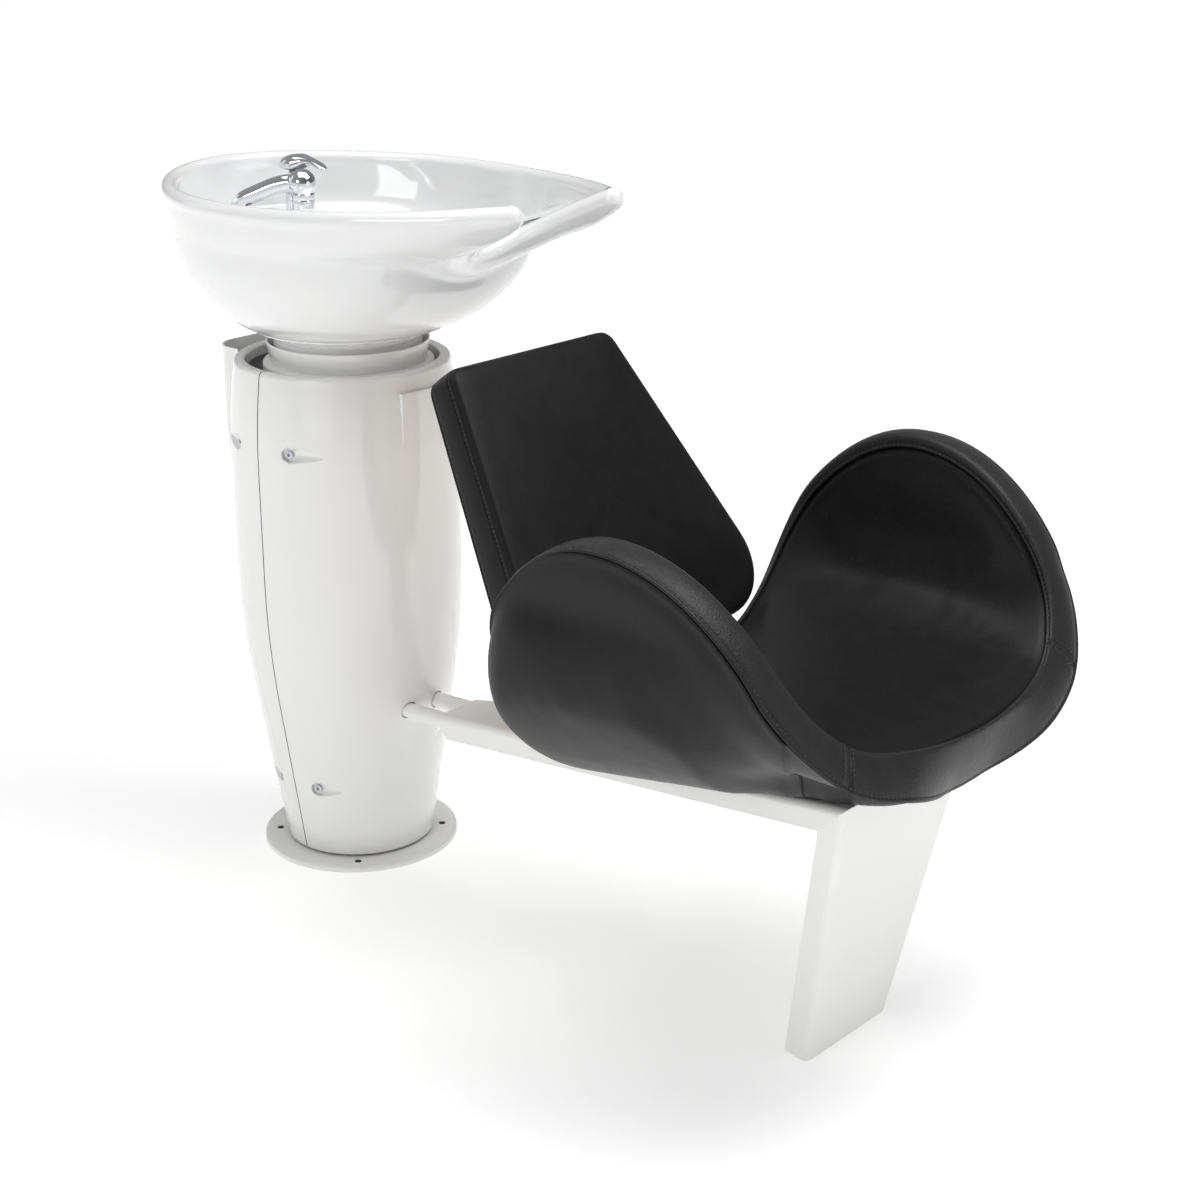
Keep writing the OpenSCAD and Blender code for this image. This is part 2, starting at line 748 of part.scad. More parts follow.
body_n = 6;
body_slope0 = 29;
body_slope1 = 88;
function body_at(a, v) = let (s = mix(body_slope0, body_slope1, v),
    p = (sin(s) - sin(body_slope0)) / (sin(body_slope1) - sin(body_slope0)),
    q = (cos(body_slope0) - cos(s)) / (cos(body_slope0) - cos(body_slope1)),
    f = around(foot_r, a, foot_z), c = crease(a))
  [mix(f[0], c[0], p), mix(f[1], c[1], p), mix(f[2], c[2], q)];

function roll_at(st, b) = st[0] + st[2] * [cos(st[1]) * cos(b), sin(st[1]) * cos(b), sin(b)];
roll_angles = [-50, -20, 10, 40, 70, 100, 130, 160, 190];

// Inside wall: a round section, one with a level ledge at the back, or one
// with a long gentle slope at the horns and the neck notch
bowl_bottom_r = 52;
wall_n = 9;
ledge_in = [0, 0.03, 0.07, 0.13, 0.24, 0.40, 0.53, 0.60, 0.78, 1];
ledge_down = [0, 0.35, 0.8, 0.97, 1, 1, 1.12, 1.45, 1.9, 2.1];
horn_in = [0, 0.07, 0.14, 0.22, 0.3, 0.39, 0.48, 0.58, 0.75, 1];
horn_down = [0, 0.07, 0.11, 0.16, 0.21, 0.29, 0.45, 0.68, 0.9, 1];
function ledge_part(a) = ease((a - 96) / 34);
function horn_part(a) = ease((75 - a) / 35);
function wall_at(st, k) = let (b = 90 * k / wall_n, p0 = roll_at(st, 190),
    e = around(bowl_bottom_r, st[3], bowl_floor + 4), g = ledge_part(st[3]), h = horn_part(st[3]),
    q = mix(mix(1 - pow(cos(b), 0.75), horn_in[k], h), ledge_in[k], g),
    z_bowl = mix(p0[2], e[2], mix(sin(b), horn_down[k], h)),
    d = ledge_down[k], z_ledge = d <= 1 ? mix(p0[2], ledge_z, d)
      : mix(ledge_z, e[2], (d - 1) / 1.1))
  [mix(p0[0], e[0], q), mix(p0[1], e[1], q), mix(z_bowl, z_ledge, g)];

// Hollow between bowl and body, open at the foot: radius and height at
// the sides, then at the back, where it runs up behind the bowl
hollow_side = [[24, 0], [76, 0], [112, 2], [126, 8], [128, 5], [118, -6], [106, -18], [97, -30]];
hollow_back = [[24, 0], [76, 0], [100, 10], [120, 36], [140, 74], [200, 76], [168, 6], [97, -30]];
function hollow_at(a, k) = let (g = ease((a - 110) / 40),
    p = mix(hollow_side[k], hollow_back[k], g))
  around(p[0], a, k == 7 ? foot_z : bowl_floor - ceramic_t + p[1]);

function mirror_ring(f) = concat([for (i = [0 : half_n]) f[i]],
  [for (i = [half_n - 1 : -1 : 1]) [f[i][0], -f[i][1], f[i][2]]]);

module basin_form() {
  sts = [for (i = [0 : half_n]) station(i)];
  rings = concat(
    [for (k = [0 : body_n]) mirror_ring([for (s = sts) body_at(s[3], k / body_n)])],
    [for (w = [0.4, 0.75]) mirror_ring([for (s = sts)
      let (c = crease(s[3]), r = roll_at(s, -50), g = ease((140 - s[3]) / 60),
        p = mix(0.5, 0.45, g), m = [mix(c[0], r[0], p), mix(c[1], r[1], p),
        mix(c[2], r[2], mix(0.5, 0.42, g))])
      pow(1 - w, 2) * c + 2 * w * (1 - w) * m + w * w * r])],
    [for (b = roll_angles) mirror_ring([for (s = sts) roll_at(s, b)])],
    [for (k = [1 : wall_n]) mirror_ring([for (s = sts) wall_at(s, k)])],
    [for (r = [waste_d / 2 + 10, 24]) mirror_ring([for (s = sts) around(r, s[3], bowl_floor)])],
    [for (k = [0 : 7]) mirror_ring([for (s = sts) hollow_at(s[3], k)])]);
  looped(rings);
}

tap_spot_r = 27;
module ceramic_basin() {
  color("white") difference() {
    basin_form();
    translate([basin_x, 0, foot_z]) cylinder(h = 80, d = waste_d + 1, $fn = fine);
    both_sides(tap_y) translate([-tap_x, 0, 0]) {
      translate([0, 0, ledge_z - 60]) cylinder(h = 80, d = tap_hole_d, $fn = fine);
      translate([0, 0, ledge_z]) cylinder(h = 30, r = tap_spot_r, $fn = fine);
    }
    translate([basin_x, 0, foot_z - 1]) for (a = [45 : 90 : 315]) rotate(a)
      translate([cradle_bolt_r, 0, 0]) cylinder(h = 15, d = cradle_bolt_d + 0.4, $fn = fine);
  }
}

// Waste outlet

waste_top = bowl_floor + 2.5;
module waste_flange() {
  r_in = waste_d / 2 - 6;
  color("silver") translate([basin_x, 0, 0]) difference() {
    union() {
      translate([0, 0, bowl_floor + 0.3]) cylinder(h = 2.2, d = waste_d + 16, $fn = fine);
      translate([0, 0, pivot_z - 5]) cylinder(h = bowl_floor - pivot_z + 6, d = waste_d, $fn = fine);
    }
    translate([0, 0, pivot_z - 6]) cylinder(h = 100, r = r_in, $fn = fine);
    translate([0, 0, bowl_floor - 3]) cylinder(h = 10, r = waste_d / 2 - 2, $fn = fine);
  }
}

module waste_gasket() {
  color("dimgray") translate([basin_x, 0, bowl_floor - ceramic_t - 3]) difference() {
    cylinder(h = 3, d = waste_d + 22, $fn = fine);
    translate([0, 0, -1]) cylinder(h = 5, d = waste_d + 0.1, $fn = fine);
  }
}

module waste_nut() {
  color("dimgray") translate([basin_x, 0, bowl_floor - ceramic_t - 13]) difference() {
    cylinder(h = 10, d = waste_d + 20, $fn = 8);
    translate([0, 0, -1]) cylinder(h = 12, d = waste_d + 0.1, $fn = fine);
  }
}

module waste_strainer() {
  r = waste_d / 2 - 2 - small;
  color("silver") translate([basin_x, 0, bowl_floor - 3 + 0.05]) difference() {
    union() {
      cylinder(h = 2.4, r = r, $fn = fine);
      translate([0, 0, 2]) cylinder(h = 9, r1 = 5, r2 = 7, $fn = 48);
    }
    for (ring = [[6, 10.5], [12, 16.5]]) for (i = [0 : ring[0] - 1])
      rotate(i * 360 / ring[0]) translate([ring[1], 0, -1])
        cylinder(h = 5, d = 4, $fn = 24);
  }
}

// Taps: a lever mixer and a docked hand shower, both on the ledge

mixer_base_h = 4;
mixer_neck_h = 32;
mixer_body_h = 22;
module tap_shank(y, d) {
  translate([-tap_x, y, ledge_z - 34]) cylinder(h = 35, d = d, $fn = fine);
}

module mixer_base() {
  color("silver") union() {
    translate([-tap_x, tap_y, ledge_z]) rotate_extrude($fn = fine) polygon([
      [0, 0], [25, 0], [25, 2], [22, mixer_base_h], [mixer_neck_d / 2, mixer_base_h + 2],
      [mixer_neck_d / 2, mixer_neck_h], [0, mixer_neck_h]]);
    tap_shank(tap_y, tap_hole_d - 6);
  }
}

module mixer_nut() {
  color("goldenrod") translate([-tap_x, tap_y, ledge_z - 29])
    difference() {
      cylinder(h = 7, d = tap_hole_d + 14, $fn = 6);
      translate([0, 0, -1]) cylinder(h = 9, d = tap_hole_d - 5.9, $fn = fine);
    }
}

module dock_nut() {
  color("goldenrod") mirror([0, 1, 0]) mixer_nut();
}

mixer_z = ledge_z + mixer_neck_h;
body_top = mixer_z + small + mixer_body_h;
lever_gap = 1.8;
stem_d = 10;
stem_h = 12;
run_fit = 0.1;
module mixer_body() {
  r = mixer_d / 2;
  color("silver") translate([-tap_x, tap_y, mixer_z + small]) difference() {
    rotate_extrude($fn = fine) polygon([[0, 0], [mixer_neck_d / 2, 0],
      [r - 3, 3], [r, 7], [r, mixer_body_h], [0, mixer_body_h]]);
    translate([0, 0, mixer_body_h - stem_h - 1])
      cylinder(h = stem_h + 2, d = stem_d + run_fit, $fn = fine);
  }
}

// Spindle that turns in the body. The lever rocks on its cross pin.
lever_z = body_top + lever_gap;
pin_d = 4;
pin_up = 6.5;
pin_len = 26;
block_w = 10;
block_x = 5.5;
block_h = 10;
module mixer_spindle() {
  color("dimgray") translate([-tap_x, tap_y, body_top]) union() {
    translate([0, 0, -stem_h]) cylinder(h = stem_h + 1, d = stem_d, $fn = fine);
    translate([0, 0, run_fit]) cylinder(h = lever_gap - 2 * run_fit, d = mixer_d - 14, $fn = fine);
    translate([-block_x, -block_w / 2, lever_gap - 0.5]) cube([2 * block_x, block_w, block_h + 0.5]);
    translate([0, pin_len / 2, lever_gap + pin_up]) rotate([90, 0, 0])
      cylinder(h = pin_len, d = pin_d, $fn = 48);
  }
}

// Domed lever cap whose blade arcs over the front. Behind the pin its
// underside slopes up, so that the lever can be lifted.
lever_lift = 18;
module mixer_lever() {
  color("silver") translate([-tap_x, tap_y, lever_z]) difference() {
    union() {
      intersection() {
        translate([0, 0, -6]) sphere(r = 25, $fn = 48);
        cylinder(h = 30, r = mixer_d / 2, $fn = 48);
      }
      hull() {
        translate([2, 0, 14]) sphere(r = 9, $fn = 24);
        translate([40, 0, 17]) sphere(r = 5, $fn = 24);
      }
      hull() {
        translate([40, 0, 17]) sphere(r = 5, $fn = 24);
        translate([58, 0, 11]) sphere(r = 4, $fn = 24);
      }
    }
    rotate([0, lever_lift + 2, 0]) translate([-60, -30, -20]) cube([60, 60, 20]);
    translate([-block_x - 3.5, -block_w / 2 - small, -1])
      cube([2 * block_x + 7, block_w + 2 * small, block_h + 4]);
    translate([0, pin_len / 2 + 1, pin_up]) rotate([90, 0, 0])
      cylinder(h = pin_len + 2, d = pin_d + run_fit, $fn = 48);
  }
}

dock_h = 16;
module shower_dock() {
  color("silver") difference() {
    union() {
      translate([-tap_x, -tap_y, ledge_z]) rotate_extrude($fn = fine)
        polygon([[0, 0], [24, 0], [24, 3], [18, 6], [17, dock_h], [0, dock_h]]);
      tap_shank(-tap_y, tap_hole_d - 6);
    }
    translate([-tap_x, -tap_y, ledge_z - 40]) cylinder(h = 80, d = 24, $fn = fine);
  }
}

// Handle of the hand shower: a tapering tube that bends over to the head
handle_r0 = 11.4;
handle_r1 = 15;
handset_top = 74;
handset_reach = 62;
// the handle is straight up to here, so that it leaves the dock freely
handle_z0 = dock_h - 2;
handle_rise = handset_top - 8 - handle_z0;
arc_n = 14;
function handle_line(u) = let (a = 96 * u)
  [handset_reach * (1 - cos(a)) * 0.9, 0, handle_z0 + handle_rise * sin(a)];
function handle_ring(u, r, n = 20) = let (a = 96 * u,
    t = [handset_reach * 0.9 * sin(a), 0, handle_rise * cos(a)], l = norm(t),
    o = [t[2], 0, -t[0]] / l)
  [for (i = [0 : n - 1]) let (b = 360 * i / n) handle_line(u) + r * (cos(b) * o - [0, sin(b), 0])];
module shower_handset() {
  rings = [for (i = [0 : arc_n]) let (u = i / arc_n) handle_ring(u, mix(handle_r0, handle_r1, ease(u)))];
  color("silver") translate([-tap_x, -tap_y, ledge_z]) {
    translate([0, 0, -14]) cylinder(h = handle_z0 + 14.5, r = handle_r0, $fn = fine);
    translate([0, 0, dock_h + small]) cylinder(h = 3, r = handle_r0 + 3, $fn = fine);
    capped(rings, handle_line(0), handle_line(1) + [7, 0, -2]);
    translate([handset_reach * 0.98, 0, handset_top - 18]) sphere(r = 17.5, $fn = 48);
    translate([handset_reach * 0.98, 0, handset_top - 42]) cylinder(h = 20, r = 15.5, $fn = fine);
  }
}

module spray_face() {
  color("dimgray") translate([handset_reach * 0.98 - tap_x, -tap_y,
    ledge_z + handset_top - 45]) difference() {
      cylinder(h = 3, r = 14, $fn = fine);
      for (ring = [[6, 5], [12, 10]]) for (i = [0 : ring[0] - 1])
        rotate(i * 360 / ring[0]) translate([ring[1], 0, -1])
          cylinder(h = 2.5, d = 1.6, $fn = 16);
    }
}

// Seat frame: folded sheet beam and leg with two tubes, one welded piece

beam_len = norm([knee_x - beam_x, knee_z - beam_z]);
beam_rise = atan2(knee_z - beam_z, knee_x - beam_x);
leg_len = norm([knee_x - toe_x, knee_z]);
leg_lean = atan2(knee_x - toe_x, knee_z);
function beam_plane(x) = beam_z + (x - beam_x) * tan(beam_rise);

// Folded channel, its top from x = 0 to len, half width w0 to w1, flanges
// below. cut0 slants the flanges' start.
module channel(len, w0, w1, cut0) {
  flare = atan2(w1 - w0, len);
  edge = len / cos(flare);
  difference() {
    union() {
      translate([0, 0, -sheet_t]) linear_extrude(sheet_t)
        polygon([[0, fold_r - w0], [len, fold_r - w1], [len, w1 - fold_r], [0, w0 - fold_r]]);
      for (s = [-1, 1]) translate([0, s * w0, 0]) rotate([0, 0, s * flare]) {
        translate([0, s > 0 ? -sheet_t : 0, 0]) rotate([90, 0, 0])
          translate([0, 0, -sheet_t]) linear_extrude(sheet_t)
            polygon([[0, -fold_r], [edge, -fold_r], [edge, -flange_h], [cut0, -flange_h]]);
        translate([0, -s * fold_r, -fold_r]) rotate([0, 90, 0])
          intersection() {
            cylinder(h = edge, r = fold_r, $fn = 64);
            translate([-fold_r, s > 0 ? 0 : -fold_r, 0]) cube([fold_r, fold_r, edge]);
          }
      }
    }
    for (s = [-1, 1]) translate([0, s * w0, 0]) rotate([0, 0, s * flare])
      translate([-20, -s * fold_r, -fold_r]) rotate([0, 90, 0])
        cylinder(h = edge + 40, r = fold_r - sheet_t, $fn = 64);
  }
}

// Beam and leg are mitred where they meet
knee_over = 60;
knee_lap = 0.3;
module at_knee() {
  translate([knee_x, 0, knee_z]) rotate([0, -(beam_rise + 90 - leg_lean) / 2, 0]) children();
}

module knee_cut(side) {
  big = 400;
  at_knee() translate([-big, -big, side > 0 ? knee_lap : -knee_lap - 2 * big]) cube(2 * big);
}

// weld run inside the knee
module knee_weld() {
  at_knee() translate([-sheet_t / sin((90 - leg_lean - beam_rise) / 2), 0, 0]) rotate([90, 0, 0])
    cylinder(h = 2 * (knee_w - fold_r + 1), r = sheet_t - 0.6, center = true, $fn = 48);
}

nose_len = 34;
nose_drop = 60;
module seat_frame() {
  over_w = knee_over / beam_len * (knee_w - beam_w0);
  leg_w = knee_over / leg_len * (knee_w - toe_w);
  nose_w = beam_w0 - fold_r - 1;
  color("white") difference() {
    union() {
      difference() {
        translate([beam_x, 0, beam_z]) rotate([0, -beam_rise, 0])
          channel(beam_len + knee_over, beam_w0, knee_w + over_w, 15);
        knee_cut(-1);
      }
      difference() {
        translate([knee_x, 0, knee_z]) rotate([0, 90 + leg_lean, 0])
          translate([-knee_over, 0, 0]) channel(leg_len + knee_over, knee_w + leg_w, toe_w, 0);
        knee_cut(1);
      }
      knee_weld();
      both_sides(tube_y) on_tube(tube_in)
        cylinder(h = (beam_x + 30 - tube_in) / cos(tube_rise), d = tube_d, $fn = fine);
      translate([beam_x, 0, beam_z]) rotate([0, 180 - nose_drop, 0])
        translate([0, -nose_w, 0]) cube([nose_len, 2 * nose_w, sheet_t]);
    }
    translate([toe_x - 100, -200, -100]) cube([300, 400, 100]);
    for (x = riser_bolt_xs) both_sides(riser_bolt_y) beam_hole(x);
    for (x = bracket_bolt_xs) both_sides(bracket_y) beam_hole(x);
  }
}

module beam_hole(x) {
  translate([x, 0, beam_plane(x)]) rotate([0, -beam_rise, 0])
    translate([0, 0, -20]) cylinder(h = 40, d = frame_hole, $fn = fine);
}

frame_hole = 9;
riser_x0 = 690;
riser_x1 = 900;
riser_bolt_xs = [riser_x0 + 25, riser_x1 - 25];
riser_bolt_y = 45;
riser_w = 130;
riser_t = 5;
bracket_x = 560;
bracket_bolt_xs = [bracket_x + 22, bracket_x + 62];
bracket_y = 32;

foot_t = 6;
module leg_foot_plate() {
  x0 = toe_x - flange_h + 3;
  color("white") translate([0, 0, 10]) difference() {
    translate([x0, -toe_w + sheet_t + 1, 0])
      cube([flange_h - sheet_t - 3, 2 * (toe_w - sheet_t - 1), foot_t]);
    both_sides(toe_w - 22) translate([x0 + 13, 0, -1])
      cylinder(h = foot_t + 2, d = 10.2, $fn = fine);
  }
}

module leg_glides() {
  x0 = toe_x - flange_h + 16;
  color("dimgray") both_sides(toe_w - 22) translate([x0, 0, 0]) union() {
    cylinder(h = 10, r = 11, $fn = fine);
    translate([0, 0, 9]) cylinder(h = 14, d = 10, $fn = fine);
  }
}

// Seat shell. Its inner surface is one sheet bent along X: a nearly flat
// pan, a bend and leaning arms. a is the distance along the sheet from the
// middle, d is the depth below the surface.

bend_a0 = asin(pan_w / pan_r);
bend_len = arm_r * (arm_angle - bend_a0) * PI / 180;
flat_len = pan_r * bend_a0 * PI / 180;
function sheet_angle(a) = a < flat_len ? a / flat_len * bend_a0
  : a < flat_len + bend_len ? bend_a0 + (a - flat_len) / bend_len * (arm_angle - bend_a0)
  : arm_angle;
function sheet_point(a) =
  a < flat_len ? pan_r * [sin(sheet_angle(a)), 1 - cos(sheet_angle(a))]
  : let (s = sheet_angle(a), c0 = [(pan_r - arm_r) * sin(bend_a0),
      pan_r - (pan_r - arm_r) * cos(bend_a0)], e = max(a - flat_len - bend_len, 0))
    c0 + arm_r * [sin(s), -cos(s)] + e * [cos(s), sin(s)];
function on_sheet(x, a, d) = let (p = sheet_point(abs(a)), s = sheet_angle(abs(a)),
    y = p[0] + d * sin(s), z = p[1] - d * cos(s))
  [x, a < 0 ? -y : y, pan_z + z];

// Outline of the leather, f from 0 at the front middle round to 360
seat_mid = 80;
function seat_outline(f) = let (a = seat_arm * sin(f), c = cos(f))
  [seat_x + (c > 0 ? seat_front : seat_back) * c
    + (c < 0 ? back_cut / 2 * (1 + cos(min(180, 180 * abs(a) / 350))) : 0), a];
function seat_at(f, r) = let (o = seat_outline(f), m = [seat_x + seat_mid, 0])
  m + r * (o - m);

// Depth of the seat body: even at its edge and deeper in the middle of the
// front. Inside the edge it swells, most at the back, down to a rounded
// underside that lies on the beam.
belly_front = 92;
belly_back = 105;
edge_set = 10;
belly_set = 44;
front_swell = 24;
front_draw = 22;
keel_w = 105;
keel_curve = 0.0033;
function edge_depth(f, a) = edge_t + (cos(f) > 0 ? lip_t / 2 * (1 + cos(min(180, abs(a)))) : 0);
function body_depth(x, a) = mix(edge_t + belly_front * (1 - ease((abs(a) - 60) / 110)),
  edge_t + belly_back * pow(max(0, 350 - abs(a)) / 190, 1.1), ease((960 - x) / 250));
function back_part(f) = pow(max(0, -cos(f)), 0.35);
function swell(f) = let (g = abs(f > 180 ? f - 360 : f))
  (g > 5 && g < 45 ? front_swell * sin(180 * (g - 5) / 40) : 0) - front_draw * (1 - ease(g / 20));
function edge_shift(f) = swell(f) - edge_set * back_part(f);
function keel(x, y) = beam_plane(min(x, knee_x + 60)) + small
  + keel_curve * pow(max(0, abs(y) - keel_w), 2);
function outer_at(f, r) = let (p = seat_at(f, r),
    w = ease((pad_edge - r) / mix(0.14, 0.45, ease(cos(f)))),
    d = mix(edge_depth(f, p[1]), body_depth(p[0], p[1]), w),
    back = belly_set * w * ease((abs(p[1]) - 90) / 80) * back_part(f),
    q = on_sheet(p[0] + edge_shift(f) * (cos(f) > 0 ? 1 - w : 1) - back, p[1], d))
  [q[0], q[1], max(q[2], keel(q[0], q[1]))];

seat_seg = 44;
seat_fs = [for (i = [0 : seat_seg - 1]) 360 * i / seat_seg];
pad_edge = 0.95;
seam_in = 0.006;
board_edge = 0.93;
pad_crown = 5;
seat_rings = [0.15, 0.35, 0.55, 0.75, 0.88, board_edge, pad_edge];

// A point of the seat; near the edge it moves with the edge's lean
function seat_point(f, r, d) = let (p = seat_at(f, r),
    t = min(1, max(0, d / edge_depth(f, p[1]))) * ease((r - 0.7) / 0.25))
  on_sheet(p[0] + edge_shift(f) * t, p[1], d);
function sheet_ring(r, d) = [for (f = seat_fs) seat_point(f, r, d)];
module seat_pad() {
  color("black") capped(concat(
    [for (r = seat_rings) sheet_ring(r, -pad_crown * (1 - pow(r / pad_edge, 6)) + 1)],
    [sheet_ring(pad_edge, 6), sheet_ring(pad_edge - 0.01, pad_t - small)],
    [for (i = [5 : -1 : 0]) sheet_ring(seat_rings[i], pad_t - small)]),
    on_sheet(seat_x + seat_mid, 0, 1 - pad_crown), on_sheet(seat_x + seat_mid, 0, pad_t - small),
    len(seat_rings) + 1);
}

module seat_board() {
  color("tan") difference() {
    capped(concat([for (i = [0 : 5]) sheet_ring(seat_rings[i], pad_t)],
      [for (i = [5 : -1 : 0]) sheet_ring(seat_rings[i], pad_t + board_t)]),
      on_sheet(seat_x + seat_mid, 0, pad_t), on_sheet(seat_x + seat_mid, 0, pad_t + board_t), 6);
    riser_bolt_places() translate([0, 0, pan_z - 60]) cylinder(h = 80, d = frame_hole, $fn = fine);
  }
}

// Padded edge band between the inner and the outer seam
module seat_border() {
  section = [[pad_edge + seam_in, 4], [0.972, 0], [0.992, 2], [1, 0.12], [1.008, 0.5], [1, 0.88],
    [0.985, 1], [pad_edge + seam_in, 0.97], [pad_edge + seam_in, pad_t + board_t + small],
    [pad_edge + seam_in, pad_t - small]];
  function band(f, s) = seat_point(f, s[0], s[1] > 1 ? s[1] : s[1] * edge_depth(f, seat_at(f, s[0])[1]));
  // the hidden inner side starts at the last but third ring
  color("black") looped([for (s = section) [for (f = seat_fs) band(f, s)]], len(section) - 3);
}

module seat_outer() {
  rs = [0.2, 0.4, 0.58, 0.72, 0.83, 0.9, pad_edge];
  top = pad_t + board_t + small;
  color("black") difference() {
    capped(concat(
      [for (i = [0 : 5]) sheet_ring(seat_rings[i], top)], [sheet_ring(pad_edge, top)],
      [for (i = [len(rs) - 1 : -1 : 0]) [for (f = seat_fs) outer_at(f, rs[i])]]),
      on_sheet(seat_x + seat_mid, 0, top),
      let (p = on_sheet(seat_x + seat_mid, 0, 200))
        [p[0], 0, keel(p[0], 0)]);
    translate([riser_x0 - 6, -riser_w / 2 - 6, 200]) cube([riser_x1 - riser_x0 + 12, riser_w + 12, 300]);
  }
}

// Steel riser between beam and board
module riser_bolt_places() {
  for (x = riser_bolt_xs) both_sides(riser_bolt_y) translate([x, 0, 0]) children();
}

riser_top = pan_z - pad_t - board_t;
module seat_riser() {
  len_r = riser_x1 - riser_x0;
  color("silver") difference() {
    union() {
      translate([riser_x0, -riser_w / 2, riser_top - riser_t]) cube([len_r, riser_w, riser_t]);
      both_sides(riser_w / 2 - riser_t / 2 - 8) rotate([90, 0, 0])
        translate([0, 0, -riser_t / 2]) linear_extrude(riser_t)
          polygon([[riser_x0, beam_plane(riser_x0)], [riser_x1, beam_plane(riser_x1)],
            [riser_x1, riser_top], [riser_x0, riser_top]]);
      translate([riser_x0, -riser_w / 2, beam_plane(riser_x0)]) rotate([0, -beam_rise, 0])
        cube([len_r / cos(beam_rise), riser_w, riser_t]);
    }
    riser_bolt_places() translate([0, 0, 250]) cylinder(h = 300, d = frame_hole, $fn = fine);
  }
}

// A bolt through the beam and a plate of thickness t that lies on it
bolt_d = 8;
bolt_head = 15;
bolt_head_h = 5;
module beam_bolt(x, t) {
  translate([x, 0, beam_plane(x)]) rotate([0, -beam_rise, 0]) {
    translate([0, 0, -sheet_t - bolt_head_h]) cylinder(h = bolt_head_h, d = bolt_head, $fn = 6);
    translate([0, 0, -sheet_t - 1]) cylinder(h = sheet_t + t + 2, d = bolt_d, $fn = fine);
    translate([0, 0, t]) cylinder(h = bolt_head_h, d = bolt_head, $fn = 6);
  }
}

module riser_bolts() {
  color("silver") for (x = riser_bolt_xs) both_sides(riser_bolt_y) beam_bolt(x, riser_t);
}

module board_bolts() {
  color("silver") riser_bolt_places() translate([0, 0, riser_top - riser_t]) {
    translate([0, 0, -bolt_head_h]) cylinder(h = bolt_head_h, d = bolt_head, $fn = 6);
    cylinder(h = riser_t + board_t - 1, d = bolt_d, $fn = fine);
  }
}

// Backrest, drawn in its own frame: x down its face, y across, z forwards

module on_back() {
  translate([back_x, 0, back_z]) rotate([0, 90 - back_lean, 0]) children();
}

function back_hw(x) = mix(back_w_top, back_w_low, x / back_len);

// Outline drawn in by d, with a round corner between each end and side. The
// count of points is the same for all d.
corner_n = 6;
function back_outline(d) = let (
    side = atan2(back_w_low - back_w_top, back_len),
    r0 = back_r_top - d / 2, r1 = back_r_low - d,
    x0 = d + r0, y0 = back_hw(x0) - (d + r0) / cos(side),
    x1 = back_len - d - r1, y1 = back_hw(x1) - (d + r1) / cos(side),
    half = concat([for (i = [0 : 2]) [d, y0 * i / 3]],
      [for (i = [0 : corner_n]) let (t = 180 - (90 - side) * i / corner_n)
        [x0 + r0 * cos(t), y0 + r0 * sin(t)]],
      [for (i = [1 : 7]) [mix(x0 - r0 * sin(side), x1 - r1 * sin(side), i / 8),
        mix(y0 + r0 * cos(side), y1 + r1 * cos(side), i / 8)]],
      [for (i = [0 : corner_n]) let (t = (90 + side) * (1 - i / corner_n))
        [x1 + r1 * cos(t), y1 + r1 * sin(t)]],
      [for (i = [1 : 3]) [back_len - d, y1 * (1 - i / 3)]]))
  concat([for (i = [len(half) - 1 : -1 : 0]) half[i]],
    [for (i = [1 : len(half) - 2]) [half[i][0], -half[i][1]]]);
function back_depth(x) = mix(back_t_top, back_t_low, x / back_len);
function back_ring(d, z, deep) = [for (p = back_outline(d))
  [p[0], p[1], z - deep * back_depth(p[0])]];

back_board_t = 12;
back_board_in = 14;
module backrest_cushion() {
  crown = 7;
  mid = [back_len * 0.52, 0];
  function face(r, z) = [for (p = back_outline(3)) [mix(mid[0], p[0], r), mix(mid[1], p[1], r), z]];
  function rear(r) = [for (p = back_outline(2)) let (x = mix(mid[0], p[0], r))
    [x, mix(mid[1], p[1], r), -back_depth(x)]];
  color("black") on_back() difference() {
    capped(concat([for (r = [0.3, 0.6, 0.85]) face(r, crown * (1 - pow(r, 3)))],
      [back_ring(3, 0, 0), back_ring(0, -3, 0), back_ring(2.5, 0, 0.5), back_ring(0.5, 2, 1),
        back_ring(2, 0, 1)],
      [for (r = [0.8, 0.4]) rear(r)]),
      [mid[0], mid[1], crown], [mid[0], mid[1], -back_depth(mid[0])]);
    back_board_form(small);
  }
}

// The board lies in the back of the cushion, flush with it
module back_board_form(gap) {
  tilt = atan2(back_t_low - back_t_top, back_len);
  d = back_board_in - gap;
  translate([0, 0, -back_t_top]) rotate([0, tilt, 0]) translate([0, 0, -gap - 0.001])
    linear_extrude(back_board_t + 2 * gap) polygon([[d + 20, d + 20 - back_w_top],
      [back_len - d - 40, d + 40 - back_w_low], [back_len - d - 40, back_w_low - d - 40],
      [d + 20, back_w_top - d - 20]]);
}

back_screw_x = [150, 300];
module back_screw_places() {
  for (x = back_screw_x, y = [-bracket_y, bracket_y])
    translate([x, y, -back_depth(x)]) children();
}

module backrest_board() {
  color("tan") on_back() difference() {
    back_board_form(0);
    back_screw_places() translate([0, 0, -5]) cylinder(h = 40, d = 6.4, $fn = fine);
  }
}

strap_w = 40;
strap_t = 8;
strap_x0 = 110;
strap_x1 = 345;
